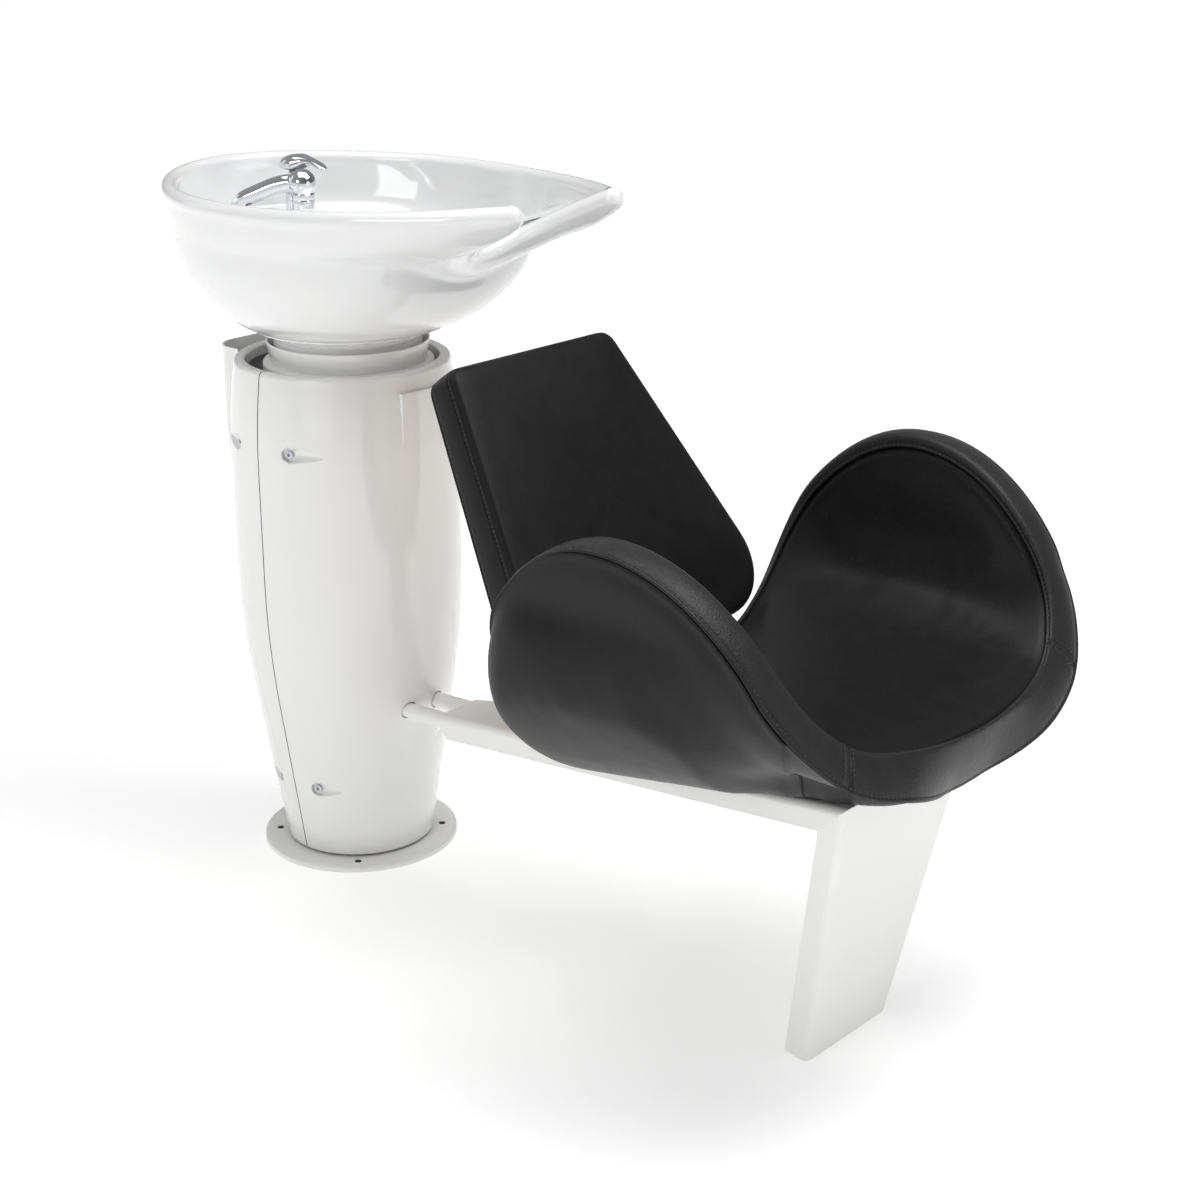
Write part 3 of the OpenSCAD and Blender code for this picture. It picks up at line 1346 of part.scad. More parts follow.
// the bend of each strap stands out a little from its faces
bend_over = 0.8;
module backrest_bracket() {
  tilt = atan2(back_t_low - back_t_top, back_len);
  lean = back_lean - tilt;
  // middle of the strap's lower end, in the chair's frame
  deep = back_depth(strap_x1) + strap_t / 2 + bend_over + 2 * run_fit;
  e = [back_x + strap_x1 * sin(back_lean) - deep * cos(back_lean),
    back_z - strap_x1 * cos(back_lean) - deep * sin(back_lean)];
  foot = [bracket_x, beam_plane(bracket_x) + strap_t / 2];
  low = norm(e - foot);
  low_a = atan2(e[0] - foot[0], e[1] - foot[1]);
  color("silver") difference() {
    union() {
      both_sides(bracket_y) {
        on_back() translate([0, 0, -back_t_top]) rotate([0, tilt, 0])
          translate([strap_x0, -strap_w / 2, -strap_t - run_fit]) cube([strap_x1 - strap_x0, strap_w, strap_t]);
        translate([e[0], -strap_w / 2 - bend_over, e[1]]) rotate([-90, 0, 0])
          cylinder(h = strap_w + 2 * bend_over, d = strap_t + 2 * bend_over, $fn = 48);
        translate([foot[0], -strap_w / 2, foot[1]]) rotate([0, low_a, 0])
          translate([-strap_t / 2, 0, 0]) cube([strap_t, strap_w, low]);
      }
      translate([bracket_x - 15, -bracket_y - strap_w / 2, beam_plane(bracket_x - 15)])
        rotate([0, -beam_rise, 0]) cube([95 / cos(beam_rise), 2 * bracket_y + strap_w, strap_t]);
    }
    on_back() back_screw_places() translate([0, 0, -40]) cylinder(h = 60, d = 6.6, $fn = fine);
    for (x = bracket_bolt_xs) both_sides(bracket_y) beam_hole(x);
  }
}

module backrest_screws() {
  color("silver") on_back() back_screw_places() translate([0, 0, -strap_t - 3 * run_fit])
    rotate([180, 0, 0]) socket_screw(6, strap_t + 9, 12, 4);
}

module bracket_bolts() {
  color("silver") for (x = bracket_bolt_xs) both_sides(bracket_y) beam_bolt(x, strap_t);
}

base_flange();
centre_post();
pedestal_head();
tube_sockets();
socket_screws();
lower_spider();
upper_spider();
front_casing();
rear_casing();
hose_duct();
casing_screws();
casing_nuts();
collar_cup();
tilt_fork();
fork_screws();
pivot_bolts();
pivot_nuts();
friction_washers();
basin_cradle();
cradle_bolts();
neck_skirt();
ceramic_basin();
waste_flange();
waste_gasket();
waste_nut();
waste_strainer();
mixer_base();
mixer_nut();
mixer_body();
mixer_spindle();
mixer_lever();
shower_dock();
dock_nut();
shower_handset();
spray_face();
seat_frame();
leg_foot_plate();
leg_glides();
seat_riser();
riser_bolts();
seat_board();
board_bolts();
seat_pad();
seat_border();
seat_outer();
backrest_bracket();
bracket_bolts();
backrest_screws();
backrest_board();
backrest_cushion();
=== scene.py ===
from math import asin, atan2, cos, degrees, hypot, radians, sin, sqrt

import bmesh
import bpy
from mathutils import Matrix, Vector


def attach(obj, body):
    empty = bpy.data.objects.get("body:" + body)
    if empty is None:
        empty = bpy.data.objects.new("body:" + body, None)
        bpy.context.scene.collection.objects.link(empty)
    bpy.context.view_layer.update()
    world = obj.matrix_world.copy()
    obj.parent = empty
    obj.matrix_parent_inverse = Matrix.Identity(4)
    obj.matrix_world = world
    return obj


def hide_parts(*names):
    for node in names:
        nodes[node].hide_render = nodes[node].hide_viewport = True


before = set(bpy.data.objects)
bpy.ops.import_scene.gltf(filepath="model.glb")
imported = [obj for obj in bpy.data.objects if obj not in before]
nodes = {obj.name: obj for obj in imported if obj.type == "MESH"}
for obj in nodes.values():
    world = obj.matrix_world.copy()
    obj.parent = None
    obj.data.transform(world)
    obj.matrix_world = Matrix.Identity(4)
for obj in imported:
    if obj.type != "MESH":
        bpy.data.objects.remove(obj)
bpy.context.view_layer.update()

# Salon backwash unit. Lengths are in millimetres up to the point where a mesh
# is finished, because the CAD part is drawn in them; mm turns them to metres.
mm = 0.001


# camera, lights and floor

view = {
    "place": (2.26015, -2.01118, 1.44958),
    "lookDown": 19.7734,        # degrees below level
    "turn": 41.4818,            # degrees from the +Y direction
    "lens": 65.64,
    "sensor": 36.0,
}

camera = bpy.data.cameras.new("camera")
camera.lens = view["lens"]
camera.sensor_width = view["sensor"]
camera.sensor_fit = "HORIZONTAL"
cameraObject = bpy.data.objects.new("camera", camera)
cameraObject.location = view["place"]
cameraObject.rotation_euler = (radians(90 - view["lookDown"]), 0, radians(view["turn"]))
bpy.context.scene.collection.objects.link(cameraObject)
bpy.context.scene.camera = cameraObject

studio = {
    "sky": "ffffff",
    "brightSide": 0.38,         # strength of the light that comes from -X
    "darkSide": 0.12,           # and from +X, where the studio is dark
    "darkTowards": (0.97, 0.22, 0),
    "floor": "ffffff",
    "floorGlow": (0.33, 0.76),  # the paper sweep glows: at the object, and far from it
    "glowFrom": (0.8, 3.4),     # distances in metres for these two
    "floorSize": 60.0,
    # name: place, what it faces, size, power, colour
    "lamps": {
        "topSoftbox": ((0.3, -0.1, 3.4), (0.4, 0.0, 0.6), (2.4, 2.4), 42, "ffffff"),
        "windowSoftbox": ((0.6, -3.4, 2.2), (0.4, 0.0, 0.6), (1.3, 1.1), 16, "ffffff"),
        "leftSoftbox": ((-3.0, -1.6, 2.0), (0.2, 0.0, 0.6), (1.2, 2.2), 5, "ffffff"),
        "rightSoftbox": ((1.5, 0.7, 3.1), (0.3, 0.0, 0.8), (1.8, 1.4), 40, "ffffff"),
        "chairSoftbox": ((3.3, 0.5, 1.3), (0.5, 0.0, 0.6), (1.4, 1.2), 7, "ffffff"),
        "lowSoftbox": ((1.2, -3.0, 0.7), (0.2, 0.0, 0.7), (1.6, 1.0), 4, "ffffff"),
    },
}


def linear(hexColour):
    # sRGB hex to the linear values that the renderer counts in
    parts = [int(hexColour[i:i + 2], 16) / 255 for i in (0, 2, 4)]
    return [p / 12.92 if p <= 0.04045 else ((p + 0.055) / 1.055) ** 2.4 for p in parts] + [1.0]


def addNode(tree, kind, settings=None, links=None, feeds=None):
    # settings name a property or an input's value, links an input and the output it takes;
    # feeds is the input of another node that takes this one's first output
    node = tree.nodes.new(kind)
    for key, value in (settings or {}).items():
        if isinstance(key, str) and hasattr(node, key):
            setattr(node, key, value)
        else:
            node.inputs[key].default_value = value
    for key, source in (links or {}).items():
        tree.links.new(source if isinstance(source, bpy.types.NodeSocket) else source.outputs[0],
                       node.inputs[key])
    if feeds is not None:
        tree.links.new(node.outputs[0], feeds)
    return node


world = bpy.data.worlds.new("studio")
world.use_nodes = True
world.node_tree.nodes.clear()
skyPlace = addNode(world.node_tree, "ShaderNodeTexCoord").outputs["Object"]
skySide = addNode(world.node_tree, "ShaderNodeVectorMath",
                  {"operation": "DOT_PRODUCT", 1: studio["darkTowards"]}, {0: skyPlace})
skyStrength = addNode(world.node_tree, "ShaderNodeMapRange", {
    "From Min": -1.0, "To Min": studio["brightSide"], "To Max": studio["darkSide"]},
    {"Value": skySide.outputs["Value"]})
sky = addNode(world.node_tree, "ShaderNodeBackground", {"Color": linear(studio["sky"])},
              {"Strength": skyStrength})
addNode(world.node_tree, "ShaderNodeOutputWorld", links={"Surface": sky})
bpy.context.scene.world = world
bpy.context.scene.view_settings.view_transform = "Standard"

for name, (place, aim, size, power, colour) in studio["lamps"].items():
    lamp = bpy.data.lights.new(name, "AREA")
    lamp.shape = "RECTANGLE"
    lamp.size, lamp.size_y = size
    lamp.energy = power
    lamp.color = linear(colour)[:3]
    lampObject = bpy.data.objects.new(name, lamp)
    lampObject.location = place
    lampObject.rotation_euler = (Vector(aim) - Vector(place)).to_track_quat("-Z", "Y").to_euler()
    bpy.context.scene.collection.objects.link(lampObject)

print("camera and lights set")


# materials: each starts from what the real surface is

def newMaterial(name, settings):
    # a material with one principled shader; settings go on the shader's own sockets
    material = bpy.data.materials.new(name)
    material.use_nodes = True
    tree = material.node_tree
    tree.nodes.clear()
    shader = addNode(tree, "ShaderNodeBsdfPrincipled", settings)
    addNode(tree, "ShaderNodeOutputMaterial", links={"Surface": shader})
    return material, tree, shader


def objectPoint(tree):
    return addNode(tree, "ShaderNodeTexCoord").outputs["Object"]


def perMetre(size):
    # scale of a pattern whose features are size millimetres wide
    return 1.0 / (size * mm)


def powderCoat():
    # polyester powder baked on folded steel: satin white with a fine orange peel
    material, tree, shader = newMaterial("powderCoatedSteel", {
        "Base Color": linear("f4f4f2"), "IOR": 1.5, "Specular IOR Level": 0.45})
    point = objectPoint(tree)
    # real orange peel is about 1 mm wide, drawn at 3 mm so that it shows
    peel = addNode(tree, "ShaderNodeTexNoise", {"Scale": perMetre(3.0), "Detail": 2.0},
                   {"Vector": point})
    addNode(tree, "ShaderNodeBump", {"Distance": 0.02 * mm}, {"Height": peel},
            feeds=shader.inputs["Normal"])
    patch = addNode(tree, "ShaderNodeTexNoise", {"Scale": perMetre(140), "Detail": 3.0},
                    {"Vector": point})
    addNode(tree, "ShaderNodeMapRange", {"To Min": 0.28, "To Max": 0.38}, {"Value": patch},
            feeds=shader.inputs["Roughness"])
    return material


def glossShell(name, colour, low, high, jointShadeWidth=0.0):
    # ABS shell, moulded then lacquered: clear reflections that waver slowly over the form
    material, tree, shader = newMaterial(name, {
        "Base Color": linear(colour), "IOR": 1.53, "Specular IOR Level": 0.5,
        "Coat Weight": 0.35, "Coat Roughness": 0.05})
    point = objectPoint(tree)
    wave = addNode(tree, "ShaderNodeTexNoise", {"Scale": perMetre(70), "Detail": 1.0},
                   {"Vector": point})
    addNode(tree, "ShaderNodeBump", {"Distance": 0.25 * mm}, {"Height": wave},
            feeds=shader.inputs["Normal"])
    patch = addNode(tree, "ShaderNodeTexNoise", {"Scale": perMetre(35), "Detail": 4.0},
                    {"Vector": point})
    addNode(tree, "ShaderNodeMapRange", {"To Min": low, "To Max": high}, {"Value": patch},
            feeds=shader.inputs["Roughness"])
    if jointShadeWidth:
        # the two shells meet at x = 0; painted shade: the shell's colour turns grey in a thin band
        # along the open joint, for the shadow in the gap between them
        split = addNode(tree, "ShaderNodeSeparateXYZ", links={"Vector": point})
        away = addNode(tree, "ShaderNodeMath", {"operation": "ABSOLUTE"},
                       {0: split.outputs["X"]})
        shade = addNode(tree, "ShaderNodeMapRange", {
            "From Min": 0.35 * jointShadeWidth * mm, "From Max": 0.65 * jointShadeWidth * mm},
            {"Value": away})
        tint = addNode(tree, "ShaderNodeMix",
                       {"data_type": "RGBA", 6: linear("4c4c4d"), 7: linear(colour)}, {0: shade})
        tree.links.new(tint.outputs[2], shader.inputs["Base Color"])
    return material


def glazedCeramic():
    # vitreous china, slip cast and glazed: a deep wet gloss over a body that waves a little
    material, tree, shader = newMaterial("glazedVitreousChina", {
        "IOR": 1.54, "Specular IOR Level": 0.55, "Coat Weight": 0.5, "Coat Roughness": 0.02,
        "Subsurface Weight": 0.04, "Subsurface Scale": 0.004})
    point = objectPoint(tree)
    wave = addNode(tree, "ShaderNodeTexNoise", {"Scale": perMetre(55), "Detail": 1.5},
                   {"Vector": point})
    addNode(tree, "ShaderNodeBump", {"Distance": 0.3 * mm}, {"Height": wave},
            feeds=shader.inputs["Normal"])
    glaze = addNode(tree, "ShaderNodeTexNoise", {"Scale": perMetre(90), "Detail": 2.0},
                    {"Vector": point})
    tint = addNode(tree, "ShaderNodeMix",
                   {"data_type": "RGBA", 6: linear("ededec"), 7: linear("e9eaeb")}, {0: glaze})
    tree.links.new(tint.outputs[2], shader.inputs["Base Color"])
    addNode(tree, "ShaderNodeMapRange", {"To Min": 0.04, "To Max": 0.09}, {"Value": glaze},
            feeds=shader.inputs["Roughness"])
    return material


def chromePlate():
    # nickel and chrome over polished brass: a mirror with the faintest polishing haze
    material, tree, shader = newMaterial("chromePlatedBrass", {
        "Base Color": linear("dfe2e6"), "Metallic": 1.0})
    haze = addNode(tree, "ShaderNodeTexNoise", {"Scale": perMetre(6), "Detail": 5.0},
                   {"Vector": objectPoint(tree)})
    addNode(tree, "ShaderNodeMapRange", {"To Min": 0.03, "To Max": 0.08}, {"Value": haze},
            feeds=shader.inputs["Roughness"])
    addNode(tree, "ShaderNodeBump", {"Distance": 0.01 * mm}, {"Height": haze},
            feeds=shader.inputs["Normal"])
    return material


def zincPlate():
    # bright zinc on laser-cut steel: dull silver in soft cloudy patches
    material, tree, shader = newMaterial("zincPlatedSteel", {"Metallic": 1.0})
    point = objectPoint(tree)
    spangle = addNode(tree, "ShaderNodeTexVoronoi", {"Scale": perMetre(7)},
                      {"Vector": point}).outputs["Distance"]
    tint = addNode(tree, "ShaderNodeMix",
                   {"data_type": "RGBA", 6: linear("c9cbce"), 7: linear("b2b5ba")}, {0: spangle})
    tree.links.new(tint.outputs[2], shader.inputs["Base Color"])
    addNode(tree, "ShaderNodeMapRange", {"To Min": 0.28, "To Max": 0.42}, {"Value": spangle},
            feeds=shader.inputs["Roughness"])
    grain = addNode(tree, "ShaderNodeTexNoise", {"Scale": perMetre(0.8), "Detail": 3.0},
                    {"Vector": point})
    addNode(tree, "ShaderNodeBump", {"Distance": 0.01 * mm}, {"Height": grain},
            feeds=shader.inputs["Normal"])
    return material


def turnedBrass():
    # free-cutting brass nut as it leaves the lathe: warm, with fine tool rings
    material, tree, shader = newMaterial("turnedBrass", {
        "Base Color": linear("c9a35a"), "Metallic": 1.0})
    rings = addNode(tree, "ShaderNodeTexWave", {
        "wave_type": "BANDS", "bands_direction": "Z", "Scale": perMetre(0.6) / 20,
        "Distortion": 0.4}, {"Vector": objectPoint(tree)}).outputs["Fac"]
    addNode(tree, "ShaderNodeMapRange", {"To Min": 0.22, "To Max": 0.36}, {"Value": rings},
            feeds=shader.inputs["Roughness"])
    addNode(tree, "ShaderNodeBump", {"Distance": 0.01 * mm}, {"Height": rings},
            feeds=shader.inputs["Normal"])
    return material


def leather(name, seed, depth, low, high, shine):
    # chrome-tanned black upholstery hide with a printed grain and a soft semi-matt finish
    material, tree, shader = newMaterial(name, {
        "IOR": 1.48, "Specular IOR Level": shine, "Sheen Weight": 0.02, "Sheen Roughness": 0.45})
    place = addNode(tree, "ShaderNodeMapping", {"Location": (seed * 0.37, seed * 0.21, 0)},
                    {"Vector": objectPoint(tree)})
    # pebbles are about 1 mm across, drawn at 2.2 mm so that the grain shows at this distance
    pebble = addNode(tree, "ShaderNodeTexVoronoi", {
        "feature": "SMOOTH_F1", "Scale": perMetre(2.2), "Smoothness": 0.6}, {"Vector": place})
    pore = addNode(tree, "ShaderNodeTexNoise", {"Scale": perMetre(1.2), "Detail": 3.0},
                   {"Vector": place})
    crease = addNode(tree, "ShaderNodeTexNoise", {
        "Scale": perMetre(26), "Detail": 4.0, "Distortion": 0.6}, {"Vector": place})
    fine = addNode(tree, "ShaderNodeMath", {"operation": "MULTIPLY_ADD", 1: 0.45},
                   {0: pore, 2: pebble.outputs["Distance"]})
    height = addNode(tree, "ShaderNodeMath", {"operation": "MULTIPLY_ADD", 1: 1.6},
                     {0: crease, 2: fine})
    addNode(tree, "ShaderNodeBump", {"Distance": depth * mm}, {"Height": height},
            feeds=shader.inputs["Normal"])
    tint = addNode(tree, "ShaderNodeMix",
                   {"data_type": "RGBA", 6: linear(low), 7: linear(high)}, {0: crease})
    tree.links.new(tint.outputs[2], shader.inputs["Base Color"])
    addNode(tree, "ShaderNodeMapRange", {"To Min": 0.31, "To Max": 0.44}, {"Value": crease},
            feeds=shader.inputs["Roughness"])
    return material


def sewingThread():
    # bonded polyester thread, twisted: a little paler than the hide, and duller; the real
    # one is about 0.8 mm thick, drawn at 1.2 mm so that it shows
    material, tree, shader = newMaterial("bondedThread", {
        "Base Color": linear("3a3a3c"), "Roughness": 0.6, "Sheen Weight": 0.05})
    twist = addNode(tree, "ShaderNodeTexWave", {"Scale": perMetre(0.5) / 20, "Distortion": 1.0},
                    {"Vector": objectPoint(tree)}).outputs["Fac"]
    addNode(tree, "ShaderNodeBump", {"Distance": 0.08 * mm}, {"Height": twist},
            feeds=shader.inputs["Normal"])
    return material


def mouldedRubber(name, colour, low, high, grain):
    # rubber, lining or nylon pressed in a spark-eroded mould: an even fine grain
    material, tree, shader = newMaterial(name, {"Base Color": linear(colour), "IOR": 1.5})
    speck = addNode(tree, "ShaderNodeTexNoise", {"Scale": perMetre(grain), "Detail": 4.0},
                    {"Vector": objectPoint(tree)})
    addNode(tree, "ShaderNodeMapRange", {"To Min": low, "To Max": high}, {"Value": speck},
            feeds=shader.inputs["Roughness"])
    addNode(tree, "ShaderNodeBump", {"Distance": 0.05 * mm}, {"Height": speck},
            feeds=shader.inputs["Normal"])
    return material


def beechPly():
    # pressed beech plywood, sanded: pale, with long thin pores along the grain
    material, tree, shader = newMaterial("beechPlywood", {"IOR": 1.45, "Roughness": 0.6})
    stretched = addNode(tree, "ShaderNodeMapping", {"Scale": (0.08, 1.0, 1.0)},
                        {"Vector": objectPoint(tree)})
    fibre = addNode(tree, "ShaderNodeTexNoise", {"Scale": perMetre(2.5), "Detail": 6.0},
                    {"Vector": stretched})
    tint = addNode(tree, "ShaderNodeMix",
                   {"data_type": "RGBA", 6: linear("b98f62"), 7: linear("dcbf94")}, {0: fibre})
    tree.links.new(tint.outputs[2], shader.inputs["Base Color"])
    addNode(tree, "ShaderNodeBump", {"Distance": 0.06 * mm}, {"Height": fibre},
            feeds=shader.inputs["Normal"])
    return material


frameWhite = powderCoat()
shellWhite = glossShell("lacqueredAbsShell", "f1f1f0", 0.10, 0.17)
casingWhite = glossShell("lacqueredAbsCasing", "f1f1f0", 0.10, 0.17, jointShadeWidth=1.8)
skirtWhite = glossShell("mouldedAbsSkirt", "f1f1f1", 0.12, 0.2)
china = glazedCeramic()
chrome = chromePlate()
zinc = zincPlate()
brass = turnedBrass()
hidePanel = leather("grainedHide", 0, 0.12, "161617", "1c1c1d", 0.16)
# the band is the same black hide as the panels with a coarser, deeper grain; its lighter colour is
# painted light, for the light that the band's edge catches
paintedLitHideBand = leather("grainedHideBandPaintedLit", 1, 0.3, "252526", "2e2e2f", 0.22)
thread = sewingThread()
rubber = mouldedRubber("vulcanisedRubber", "1a1a1b", 0.62, 0.8, 0.9)
nylon = mouldedRubber("mouldedNylon", "1e1f20", 0.38, 0.5, 1.4)
lining = mouldedRubber("frictionLining", "6f6250", 0.7, 0.85, 0.7)
ply = beechPly()

nodeFinish = {
    frameWhite: ["base_flange", "pedestal_head", "seat_frame", "leg_foot_plate"],
    casingWhite: ["front_casing", "rear_casing"],
    shellWhite: ["hose_duct", "collar_cup"],
    skirtWhite: ["neck_skirt"],
    china: ["ceramic_basin"],
    chrome: ["waste_flange", "waste_strainer", "mixer_base", "mixer_body", "mixer_lever",
             "shower_dock", "shower_handset"],
    zinc: ["centre_post", "tube_sockets", "lower_spider", "upper_spider", "casing_screws",
           "casing_nuts", "tilt_fork", "fork_screws", "pivot_bolts", "pivot_nuts", "basin_cradle",
           "cradle_bolts", "mixer_spindle", "seat_riser", "riser_bolts", "board_bolts",
           "backrest_bracket", "bracket_bolts", "backrest_screws", "socket_screws"],
    brass: ["mixer_nut", "dock_nut"],
    rubber: ["waste_gasket"],
    nylon: ["waste_nut", "spray_face", "leg_glides"],
    lining: ["friction_washers"],
    ply: ["seat_board", "backrest_board"],
    hidePanel: ["seat_pad", "seat_outer", "backrest_cushion"],
    paintedLitHideBand: ["seat_border"],
}
for finish, names in nodeFinish.items():
    for name in names:
        for place in nodes[name].material_slots:
            place.material = finish

print("materials made and CAD nodes finished")


# shared modelling helpers

def ease(t):
    t = min(max(t, 0.0), 1.0)
    return t * t * (3 - 2 * t)


def mix(a, b, t):
    return a + (b - a) * t


def sinD(a):
    return sin(radians(a))


def cosD(a):
    return cos(radians(a))


def fade(x):
    # 1 at x = 0, dying away as x grows
    return 2.71828 ** -x


def startLoft(ring):
    bm = bmesh.new()
    station = bm.verts.layers.int.new("station")
    made = bmesh.ops.create_circle(bm, segments=len(ring), radius=1.0)
    for i, vert in enumerate(made["verts"]):
        vert[station] = i
        vert.co = ring[i]
    return bm, list(bm.edges)


def pullRing(bm, edges, station, ring):
    # the open edge is pulled out once more and set to the next ring's points
    made = bmesh.ops.extrude_edge_only(bm, edges=edges)["geom"]
    new = {g for g in made if isinstance(g, bmesh.types.BMVert)}
    for vert in new:
        vert.co = ring[vert[station]]
    return [g for g in made
            if isinstance(g, bmesh.types.BMEdge) and all(v in new for v in g.verts)]


def loft(rings, endless=False, firstPoint=None, lastPoint=None):
    # a skin over rings of equal count; its ends stay open, close in a point, or meet each other
    bm, edges = startLoft(rings[0])
    order = bm.verts.layers.int.new("ring")
    station = bm.verts.layers.int["station"]
    firstEdges = edges
    for k, ring in enumerate(rings[1:] + ([rings[0]] if endless else []), 1):
        edges = pullRing(bm, edges, station, ring)
        for edge in edges:
            for vert in edge.verts:
                vert[order] = k
    if endless:
        bmesh.ops.remove_doubles(bm, verts=bm.verts, dist=1e-4)
    for point, rim in ((firstPoint, firstEdges), (lastPoint, edges)):
        if point is not None:
            tip = pullRing(bm, rim, station, [point] * len(rings[0]))
            bmesh.ops.pointmerge(bm, verts=list({v for e in tip for v in e.verts}), merge_co=point)
    bmesh.ops.recalc_face_normals(bm, faces=bm.faces)
    return bm


def smoothed(piece, count=1):
    levels = piece.modifiers.new("smooth", "SUBSURF")
    levels.levels = levels.render_levels = count


def finishPiece(name, bm, finish, smoothAngle=None, subdivide=0):
    # millimetres to metres, shade, and hand over as an object at the origin
    bmesh.ops.scale(bm, vec=(mm, mm, mm), verts=bm.verts)
    mesh = bpy.data.meshes.new(name)
    bm.to_mesh(mesh)
    bm.free()
    piece = bpy.data.objects.new(name, mesh)
    bpy.context.scene.collection.objects.link(piece)
    mesh.materials.append(finish)
    mesh.shade_smooth()
    if smoothAngle is not None:
        mesh.set_sharp_from_angle(angle=radians(smoothAngle))
    if subdivide:
        smoothed(piece, subdivide)
    return piece


# floor

floorMesh = bmesh.new()
bmesh.ops.create_grid(floorMesh, x_segments=1, y_segments=1, size=studio["floorSize"] / 2 / mm)
floorMaterial, floorTree, floorShader = newMaterial("whiteStudioFloor", {
    "Base Color": linear(studio["floor"]), "Roughness": 0.9, "Specular IOR Level": 0.1,
    "Emission Color": linear(studio["floor"])})
away = addNode(floorTree, "ShaderNodeVectorMath", {"operation": "LENGTH"},
               {0: objectPoint(floorTree)})
addNode(floorTree, "ShaderNodeMapRange", {
    "From Min": studio["glowFrom"][0], "From Max": studio["glowFrom"][1],
    "To Min": studio["floorGlow"][0], "To Max": studio["floorGlow"][1]},
    {"Value": away.outputs["Value"]}, feeds=floorShader.inputs["Emission Strength"])
floor = finishPiece("floor", floorMesh, floorMaterial)


# flange: painted shade: dark rubber plugs are set in the four floor bolt holes to give them the
# dark look of the shade inside them

flange = {"holeCircle": 243, "holes": 4, "firstHole": 45, "shadePlugRadius": 5.2, "top": 7.4}


def makeHoleShadePlugs():
    b = flange
    bm = bmesh.new()
    for k in range(b["holes"]):
        a = b["firstHole"] + 360 * k / b["holes"]
        place = Vector((b["holeCircle"] / 2 * cosD(a), b["holeCircle"] / 2 * sinD(a), b["top"] - 2))
        bmesh.ops.create_cone(bm, cap_ends=True, segments=32, radius1=b["shadePlugRadius"],
                              radius2=b["shadePlugRadius"], depth=4,
                              matrix=Matrix.Translation(place))
    rim = [e for e in bm.edges if all(v.co.z > b["top"] - 0.1 for v in e.verts)]
    bmesh.ops.bevel(bm, geom=rim, offset=1.2, segments=3, profile=0.5, affect="EDGES", material=-1)
    # the plugs are dark rubber parts that stand for the shade in the holes
    piece = finishPiece("floorHoleShadePlugs", bm, rubber, smoothAngle=40)
    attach(piece, "chair_and_column")


makeHoleShadePlugs()


# ceramic basin: the rim is one closed line round the back, down both sides, over the tips of
# the horns and through the neck notch, and every section of the wall starts on that line

basin = {
    "centreX": 13, "footRadius": 133, "footZ": 783,
    "bowlX": 43, "bowlBack": 280, "bowlHalfWidth": 240,
    "hornReach": 377, "hornHalfWidth": 93, "rimZ": 984, "hornRise": 19, "backRise": 6,
    "rimRadius": 12, "hornRadius": 16, "notchRadius": 16, "notchReach": 235, "notchZ": 912,
    "rimLowX": 72,                  # the rim is lowest here and climbs both ways
    "notchBend": (52, 0.87, 0.52),  # how the rim line leaves the tip: reach, width, height
    "creaseZ": 918, "creaseBack": 270, "creaseFront": 248, "creaseHalfWidth": 235,
    "creaseDip": 18, "creaseDraw": 36, "creaseTurn": 40,    # where it passes under the notch
    "flareSide": (0.5, 0.5), "flareFront": (0.68, 0.3),     # how hollow, outwards and upwards
    "floorZ": 824, "ledgeZ": 908, "wall": 11, "bottomRadius": 52,
    "bodySlopes": (29, 88),
    "stations": (24, 24, 10, 20),   # round the back, along a side, over a tip, half the notch
    "ledgeIn": (0, 0.03, 0.07, 0.13, 0.24, 0.40, 0.53, 0.60, 0.78, 1),
    "ledgeDown": (0, 0.35, 0.8, 0.97, 1, 1, 1.12, 1.45, 1.9, 2.1),
    "hornIn": (0, 0.07, 0.14, 0.22, 0.3, 0.39, 0.48, 0.58, 0.75, 1),
    "hornDown": (0, 0.07, 0.11, 0.16, 0.21, 0.29, 0.45, 0.68, 0.9, 1),
    "drain": ((44, 1.6), (36, 0.2), (28, 0), (26, -1)),     # dish round the waste hole
    "footRing": (110, 129),         # flat ring the basin stands on
    # the hollow below: distance from the foot's axis and height, at the sides and at the back
    "hollowSide": ((26, 0), (76, 0), (112, 2), (126, 8), (128, 5), (118, -6), (106, -18),
                   (97, -30)),
    "hollowBack": ((26, 0), (76, 0), (100, 10), (120, 36), (140, 74), (200, 76), (168, 6),
                   (97, -30)),
}


def rimTop(x):
    b = basin
    low = b["rimLowX"]
    if x > low:
        return b["rimZ"] + b["hornRise"] * ((x - low) / (b["bowlX"] + b["hornReach"] - low)) ** 2
    return b["rimZ"] + b["backRise"] * ((low - x) / (low - b["bowlX"] + b["bowlBack"])) ** 2


def notchPoint(u):
    b = basin
    x, hornZ = b["bowlX"] + b["notchReach"], b["rimZ"] + b["hornRise"] - b["hornRadius"]
    reach, width, height = b["notchBend"]
    points = (Vector((b["bowlX"] + b["hornReach"], b["hornHalfWidth"], hornZ)),
              Vector((x + reach, width * b["hornHalfWidth"], mix(b["notchZ"], hornZ, height))),
              Vector((x, 0.6 * b["hornHalfWidth"], b["notchZ"] + 3)), Vector((x, 0, b["notchZ"])))
    weights = ((1 - u) ** 3, 3 * u * (1 - u) ** 2, 3 * u * u * (1 - u), u ** 3)
    return sum((w * p for w, p in zip(weights, points)), Vector())


def notchTurn(u):
    if u > 0.999:
        return 0.0
    a, b = notchPoint(max(u - 0.01, 0)), notchPoint(min(u + 0.01, 1))
    return degrees(atan2(b.x - a.x, a.y - b.y))


